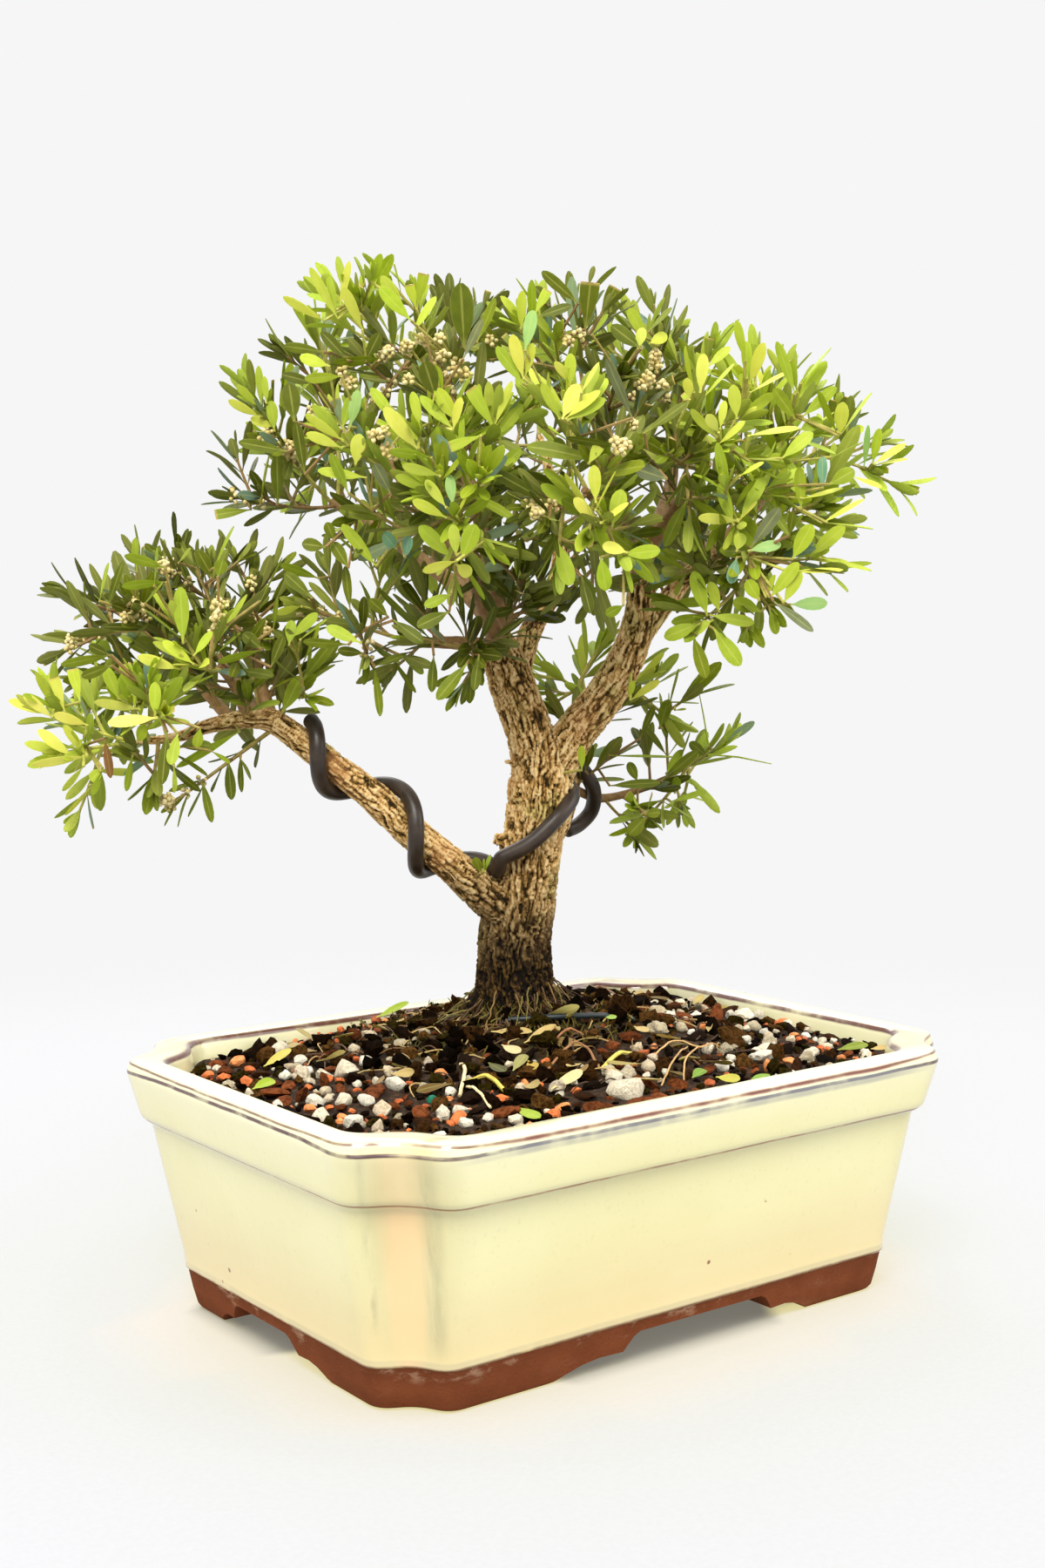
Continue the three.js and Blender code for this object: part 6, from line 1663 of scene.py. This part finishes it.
def rounded_ends(path, radius):
    """Path and radii with domed ends."""
    radii = np.full(len(path), radius)
    caps = ((0.0, 0.55), (0.1, 0.8), (0.25, 0.95), (0.4, 1.0))
    first, last = unit(path[1] - path[0]), unit(path[-1] - path[-2])
    start = [path[0] + first * (back - 0.4) * radius for back, _ in caps]
    end = [path[-1] - last * (back - 0.4) * radius for back, _ in caps[::-1]]
    return np.vstack([start, path[2:-2], end]), np.concatenate([[part * radius for _, part in caps],
        radii[2:-2], [part * radius for _, part in caps[::-1]]])


def make_wires(looks):
    wire = Shape()
    wire.tube(*rounded_ends(training_path(), WIRE_RADIUS), 20)
    show_shape("bent_training_wire", wire, [looks[0]], ["training_wire"], 60)
    tie = Shape()
    route = [(x, y, soil_height(place((x, y, 0))) + over, TIE_RADIUS) for x, y, over in TIE_ROUTE]
    tie.tube(*rounded_ends(smooth_path(route, 8)[0], TIE_RADIUS), 14)
    show_shape("bent_tie_wire", tie, [looks[1]], ["tie_wire"], 60)


# Litter on the soil: fallen leaves, rootlets, moss
TAN = srgb(204, 178, 118)
CREAM = srgb(230, 208, 158)
FALLEN_GREEN = srgb(168, 190, 60)
DRY_SIZES = ((4.5, 11), (1.7, 3.2))
# Fallen leaves: pixels of the stalk and the tip, and tone
FALLEN = (
    ((564, 1184), (611, 1185), TAN), ((602, 1197), (637, 1180), TAN), ((576, 1199), (598, 1210), CREAM),
    ((589, 1229), (604, 1211), srgb(166, 160, 104)), ((633, 1250), (668, 1230), CREAM),
    ((560, 1219), (581, 1233), srgb(86, 84, 40)), ((591, 1270), (621, 1287), FALLEN_GREEN),
    ((694, 1164), (707, 1171), srgb(170, 200, 96)), ((432, 1168), (470, 1152), FALLEN_GREEN),
    ((290, 1250), (315, 1240), FALLEN_GREEN), ((606, 1217), (616, 1230), srgb(206, 176, 84)),
    ((728, 1178), (745, 1186), TAN), ((962, 1205), (996, 1199), srgb(130, 146, 44)),
    ((303, 1224), (332, 1209), srgb(206, 190, 84)), ((822, 1236), (850, 1240), srgb(200, 194, 90)),
    ((795, 1237), (809, 1228), srgb(120, 156, 56)), ((860, 1243), (882, 1235), srgb(130, 166, 60)),
    ((1000, 1204), (1020, 1203), TAN),
)
# Rootlets and twigs: pixels along each, radius and tone
ROOTLETS = (
    (((529, 1216), (534, 1232), (528, 1252)), 0.5, CREAM),
    (((534, 1242), (548, 1256), (564, 1266)), 0.4, CREAM),
    (((624, 1228), (648, 1210), (662, 1200), (676, 1210), (689, 1221)), 0.36, srgb(150, 106, 66)),
    (((634, 1193), (652, 1186), (670, 1183)), 0.36, srgb(150, 100, 60)),
    (((691, 1221), (710, 1214), (726, 1205)), 0.6, srgb(214, 200, 96)),
    (((537, 1236), (560, 1240), (580, 1247)), 0.6, srgb(206, 188, 84)),
    (((760, 1240), (776, 1218), (790, 1196)), 0.26, srgb(190, 150, 96)),
    (((784, 1238), (790, 1216), (812, 1204), (828, 1196)), 0.26, srgb(200, 160, 104)),
    (((742, 1215), (772, 1200), (800, 1206), (812, 1196)), 0.26, srgb(200, 160, 104)),
    (((668, 1140), (690, 1138), (712, 1143)), 0.6, srgb(120, 84, 48)),
)
# A loose strip of root that leans on the trunk's foot: pixels and depths
LEANING_ROOT = (((627, 1126), 21), ((641, 1138), 24), ((656, 1152), 29.5))
ROOT_RISE = 1.8
ROOT_ARCH = 1.2
ROOT_DIP = 1.4
# How many of each kind lie round the foot, the ring's inner radius, its width and how they crowd inwards
LITTER_COUNT = 70
LITTER_RING = (16, 52, 0.5)
LITTER_TONES = (TAN, srgb(150, 118, 72), srgb(108, 84, 44), srgb(176, 156, 96))
THREAD_COUNT = 260
THREAD_RING = (12, 55)
THREAD_TONES = (srgb(176, 148, 92), srgb(120, 84, 44), srgb(84, 56, 28), srgb(66, 44, 22))
FIBRE_COUNT = 170
FIBRE_RING = (10.5, 4.5)
FIBRE_TONES = (srgb(120, 92, 48), srgb(88, 60, 28), srgb(60, 38, 16), srgb(110, 100, 40))
MOSS_COUNT = 1300
MOSS_RING = (11, 30, 1.7)
MOSS_GAPS = -0.12
MOSS_WHOLE = 18
MOSS_TONES = (srgb(72, 66, 18), srgb(96, 86, 30), srgb(46, 32, 12), srgb(60, 40, 16), srgb(128, 110, 54))


def round_foot(rng, near, width, power=1):
    """A random spot round the trunk's foot, its direction and its distance."""
    turn, out = rng.uniform(0, 2 * math.pi), near + width * rng.random() ** power
    return FOOT + out * flat_unit(turn), turn, out


def add_fallen(shape, rng):
    """Fallen leaves: those that the photograph shows, then dry ones round the foot."""
    for start, end, tone in FALLEN:
        base, tip = seen_on_soil(start, 1.6), seen_on_soil(end, 1.9)
        if not in_pot(tip, 1):
            tip = seen_at(end, in_tree_frame(base)[1])
        span, length = tip - base, np.linalg.norm(tip - base)
        if length > LEAF_LENGTH * 1.3:
            span, length = unit(span) * LEAF_LENGTH, LEAF_LENGTH
        face, width = UP + 0.8 * unit(CAMERA_AT - base), min(LEAF_WIDTH, 0.42 * length)
        add_leaf(shape, base, span, face, rng, length, width, 0, rng.uniform(0.0, 0.12),
            rng.uniform(0.02, 0.2), rng.gauss(0, 0.2), tone)
    for _ in range(LITTER_COUNT):
        base = round_foot(rng, *LITTER_RING)[0]
        if not in_pot(base, 9):
            continue
        base[2] = soil_height(base) + rng.uniform(1.0, 2.4)
        direction = flat_unit(rng.uniform(0, 2 * math.pi)) + rng.uniform(-0.1, 0.16) * UP
        tone = jittered(rng.choice(LITTER_TONES), rng, 0.2)
        length, width = (rng.uniform(*sizes) for sizes in DRY_SIZES)
        add_leaf(shape, base, direction, UP + 0.4 * direction, rng, length, width, 0,
            rng.uniform(-0.1, 0.15), rng.uniform(-0.1, 0.3), rng.gauss(0, 0.7), tone)


def add_rootlets(shape):
    """The roots and twigs that the photograph shows, their ends sunk in the soil."""
    paths = []
    for pixels, radius, tone in ROOTLETS:
        path = np.array([seen_on_soil(pixel, ROOT_RISE) for pixel in pixels])
        path[1:-1, 2] += ROOT_ARCH
        path[[0, -1], 2] -= ROOT_DIP
        paths.append((path, radius, tone))
    paths.append((np.array([seen_at(*spot) for spot in LEANING_ROOT]), 0.6, srgb(172, 138, 88)))
    for path, radius, tone in paths:
        points, radii = smooth_path(np.column_stack([in_tree_frame(path), np.full(len(path), radius)]), 7)
        shape.tube(shaken(points, 0.4, 3), radii, 6, TWIG_SLOT, tone)


def add_threads(shape, rng):
    """Fine roots: loose threads over the soil, then fibres that run out from the foot."""
    t = np.linspace(0, 1, 8)
    for _ in range(THREAD_COUNT):
        base = round_foot(rng, *THREAD_RING)[0]
        if not in_pot(base, 8):
            continue
        heading, length = rng.uniform(0, 2 * math.pi), rng.uniform(4, 13)
        bow = rng.uniform(-0.18, 0.18) * length
        line = base + np.outer(t * length, flat_unit(heading)) \
            + np.outer(np.sin(t * math.pi) * bow, (-math.sin(heading), math.cos(heading), 0))
        line[:, 2] = soil_height(line) + 0.4 + np.sin(t * math.pi) * rng.uniform(0.5, 1.6)
        tone = jittered(rng.choice(THREAD_TONES), rng)
        shape.tube(shaken(line, 0.35, 2), np.linspace(0.26, 0.14, len(t)), 5, TWIG_SLOT, tone)
    t = np.linspace(0, 1, 9)
    for _ in range(FIBRE_COUNT):
        start, turn, out = round_foot(rng, *FIBRE_RING)
        heading = turn + rng.gauss(0, 0.5)
        line = start + np.outer(t * rng.uniform(5, 15), flat_unit(heading))
        rise = rng.uniform(0, 9) * (1 - smoothstep(out, 11, 17))
        line[:, 2] = soil_height(line) + 0.6 + rise * (1 - t) ** 2 + np.sin(t * math.pi) * rng.uniform(0, 1.5)
        tone = jittered(rng.choice(FIBRE_TONES), rng)
        shape.tube(shaken(line, 0.5, 2.4), np.linspace(0.24, 0.12, len(t)), 5, TWIG_SLOT, tone)


def make_litter(looks, moss):
    rng = random.Random(LITTER_SEED)
    shape = Shape()
    add_fallen(shape, rng)
    add_rootlets(shape)
    add_threads(shape, rng)
    show_shape("fallen_litter", shape, looks, (), 52)
    tufts = Shape()
    for _ in range(MOSS_COUNT):
        base, _, out = round_foot(rng, *MOSS_RING)
        if noise.noise(base / 9) < MOSS_GAPS and out > MOSS_WHOLE:
            continue
        base[2] = soil_height(base) - 0.6 + max(0, 19 - out) * 0.35
        tip = base + [rng.gauss(0, 1.1), rng.gauss(0, 1.1), rng.uniform(1.6, 3.6)]
        middle = (base + tip) / 2 + [rng.gauss(0, 0.4), rng.gauss(0, 0.4), 0.3]
        tone = jittered(rng.choice(MOSS_TONES), rng)
        tufts.tube(np.array([base, middle, tip]), (0.3, 0.24, 0.08), 3, 0, tone)
    show_shape("moss", tufts, [moss], (), 60)


# Floor and light
FLOOR_REACH = 3.0
FLOOR_FADE = (0.3, 0.62)
BACKDROP = 0.9216
ZENITH = 2.6
ZENITH_SPAN = (0.35, 0.8)
FLOOR_TONES = ((0.1, 0.105, 0.22), (0.108, 0.113, 0.23))
FLOOR_GLOW = (0.64, 0.63, 0.33)
# Painted warm glow on the floor just outside the pot's foot
PAINTED_WARM_GLOW = (0.72, 0.65, 0.32)
# Painted shadow: the floor's weak glow and dark tone under the pot's foot
PAINTED_SHADOW_GLOW = (0.17, 0.162, 0.135)
PAINTED_SHADOW_TONE = (0.15, 0.145, 0.13)
# Metres past the pot's foot where the floor's painted shadow and painted warm glow fade out, and how far the
# painted shadow reaches out past the arches
PAINTED_SHADOW_SPAN = (-0.014, -0.003)
WARM_GLOW_SPAN = (0.002, 0.032)
FLOOR_CORNER = 0.016
ARCH_SHADOW_ENDS = ((0.034, 0.044), (0.022, 0.030))
ARCH_SHADOW_REACH = 0.009
LAMPS = (("key", (-0.8, -0.8, 1.3), 0.7, 24.0, (1.0, 0.97, 0.9)),
    ("fill", (1.0, -0.9, 0.8), 0.9, 8.0, (1.0, 0.98, 0.94)),
    ("back", (0.3, 1.1, 1.1), 0.8, 8.0, (1.0, 0.99, 0.95)),
    ("side", (-1.3, -0.1, 0.9), 0.7, 1.6, (1.0, 0.96, 0.88)))
LAMPS_FACE = Vector((0, 0, 0.15))


def make_stage():
    """A pale floor that fades into the pale surround, with a painted shadow under the pot and a painted warm
    glow round its foot, and soft studio light.
    """
    mesh = make_mesh("floor", [(-1, -1, 0), (1, -1, 0), (1, 1, 0), (-1, 1, 0)], [(0, 1, 2, 3)], FLOOR_REACH)
    mesh.transform(Matrix.Translation((0, 0, -0.0002)))
    linked("floor", mesh)
    look = Look("paper", roughness=0.95)
    x, y, _ = look.place.split()
    past_x, past_y = (abs(across - centre * MM) - half * MM
        for across, centre, half in zip((x, y), POT_CENTRE, BASE_HALF))
    # Painted shadow under the pot, reaching out past its arches
    arch_shadow = abs(x).span(*ARCH_SHADOW_ENDS[0], 1.0, 0.0).max(abs(y).span(*ARCH_SHADOW_ENDS[1], 1.0, 0.0))
    past = past_x.max(past_y).max(past_x + past_y + FLOOR_CORNER) - arch_shadow * ARCH_SHADOW_REACH
    out_of_painted_shadow = past.span(*PAINTED_SHADOW_SPAN)
    weave = look.noise(600.0, 2.0)
    look.set(Base_Color=look.mix(out_of_painted_shadow, PAINTED_SHADOW_TONE, look.mix(weave.span(0.3, 0.7), *FLOOR_TONES)),
        # The floor glows weakly in the painted shadow under the pot, with a painted warm glow just outside
        # its foot
        Emission_Color=look.mix(out_of_painted_shadow, PAINTED_SHADOW_GLOW, look.mix(past.span(*WARM_GLOW_SPAN), PAINTED_WARM_GLOW, FLOOR_GLOW)),
        Emission_Strength=1.0, Specular_IOR_Level=0.1)
    look.bump(weave, 0.0003, 0.3)
    look.blend((x * x + y * y).math("SQRT").span(*FLOOR_FADE), look.node("BsdfTransparent"))
    mesh.materials.append(look.material)
    world = bpy.context.scene.world = bpy.data.worlds.new("surround")
    sky = Graph(world)
    background = sky.tree.nodes["Background"].inputs
    height = sky.node("TexCoord", output="Generated").split()[2]
    sky.plug(background["Color"], (1, 1, 1))
    sky.plug(background["Strength"], height.span(*ZENITH_SPAN, BACKDROP, ZENITH))
    for name, spot, size, power, tint in LAMPS:
        data = bpy.data.lights.new(name, "AREA")
        data.size, data.energy, data.color = size, power, tint
        lamp = linked(name, data)
        lamp.location = spot
        lamp.rotation_mode = "QUATERNION"
        lamp.rotation_quaternion = (LAMPS_FACE - Vector(spot)).to_track_quat("-Z", "Y")
    settings = bpy.context.scene.view_settings
    settings.view_transform = "Standard"
    settings.look = "None"


make_camera()
make_stage()
make_pot(glaze_look(), clay_look())
make_soil_bed(soil_look())
make_grains({
    "pumice": toned_look("pumice_stone", 0.95, 1000.0, 0.0012, 0.7, 0.1),
    "clay_bits": toned_look("baked_clay", 0.85, 700.0, 0.0005, 0.6, 0.25),
    "bark_chips": toned_look("chipped_bark", 0.95, 620.0, 0.001, 0.4, 0.04),
    "crumbs": toned_look("earth_crumbs", 1.0, 800.0, 0.0014, 0.35, 0.02),
})
twig_look = toned_look("twig", 0.7, 500.0, 0.0003, 0.7)
leaf_looks = [leaf_look("leaf_top", False), leaf_look("leaf_under", True), twig_look,
    toned_look("flower_bud", 0.6, 1100.0, 0.0002, 0.75)]
make_wood(bark_look(), twig_look)
make_wires([wire_look("dark_wire", srgb(40, 31, 23), srgb(58, 46, 36)),
    wire_look("tie_wire_coat", srgb(26, 34, 36), srgb(40, 48, 48))])
make_foliage(leaf_looks)
make_litter(leaf_looks, toned_look("moss_green", 0.9, 900.0, 0.0002, 0.6, 0.15))
mesh_look = screen_look()
for node in ("drain_screen_left", "drain_screen_right"):
    for material_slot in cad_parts[node].material_slots:
        material_slot.material = mesh_look
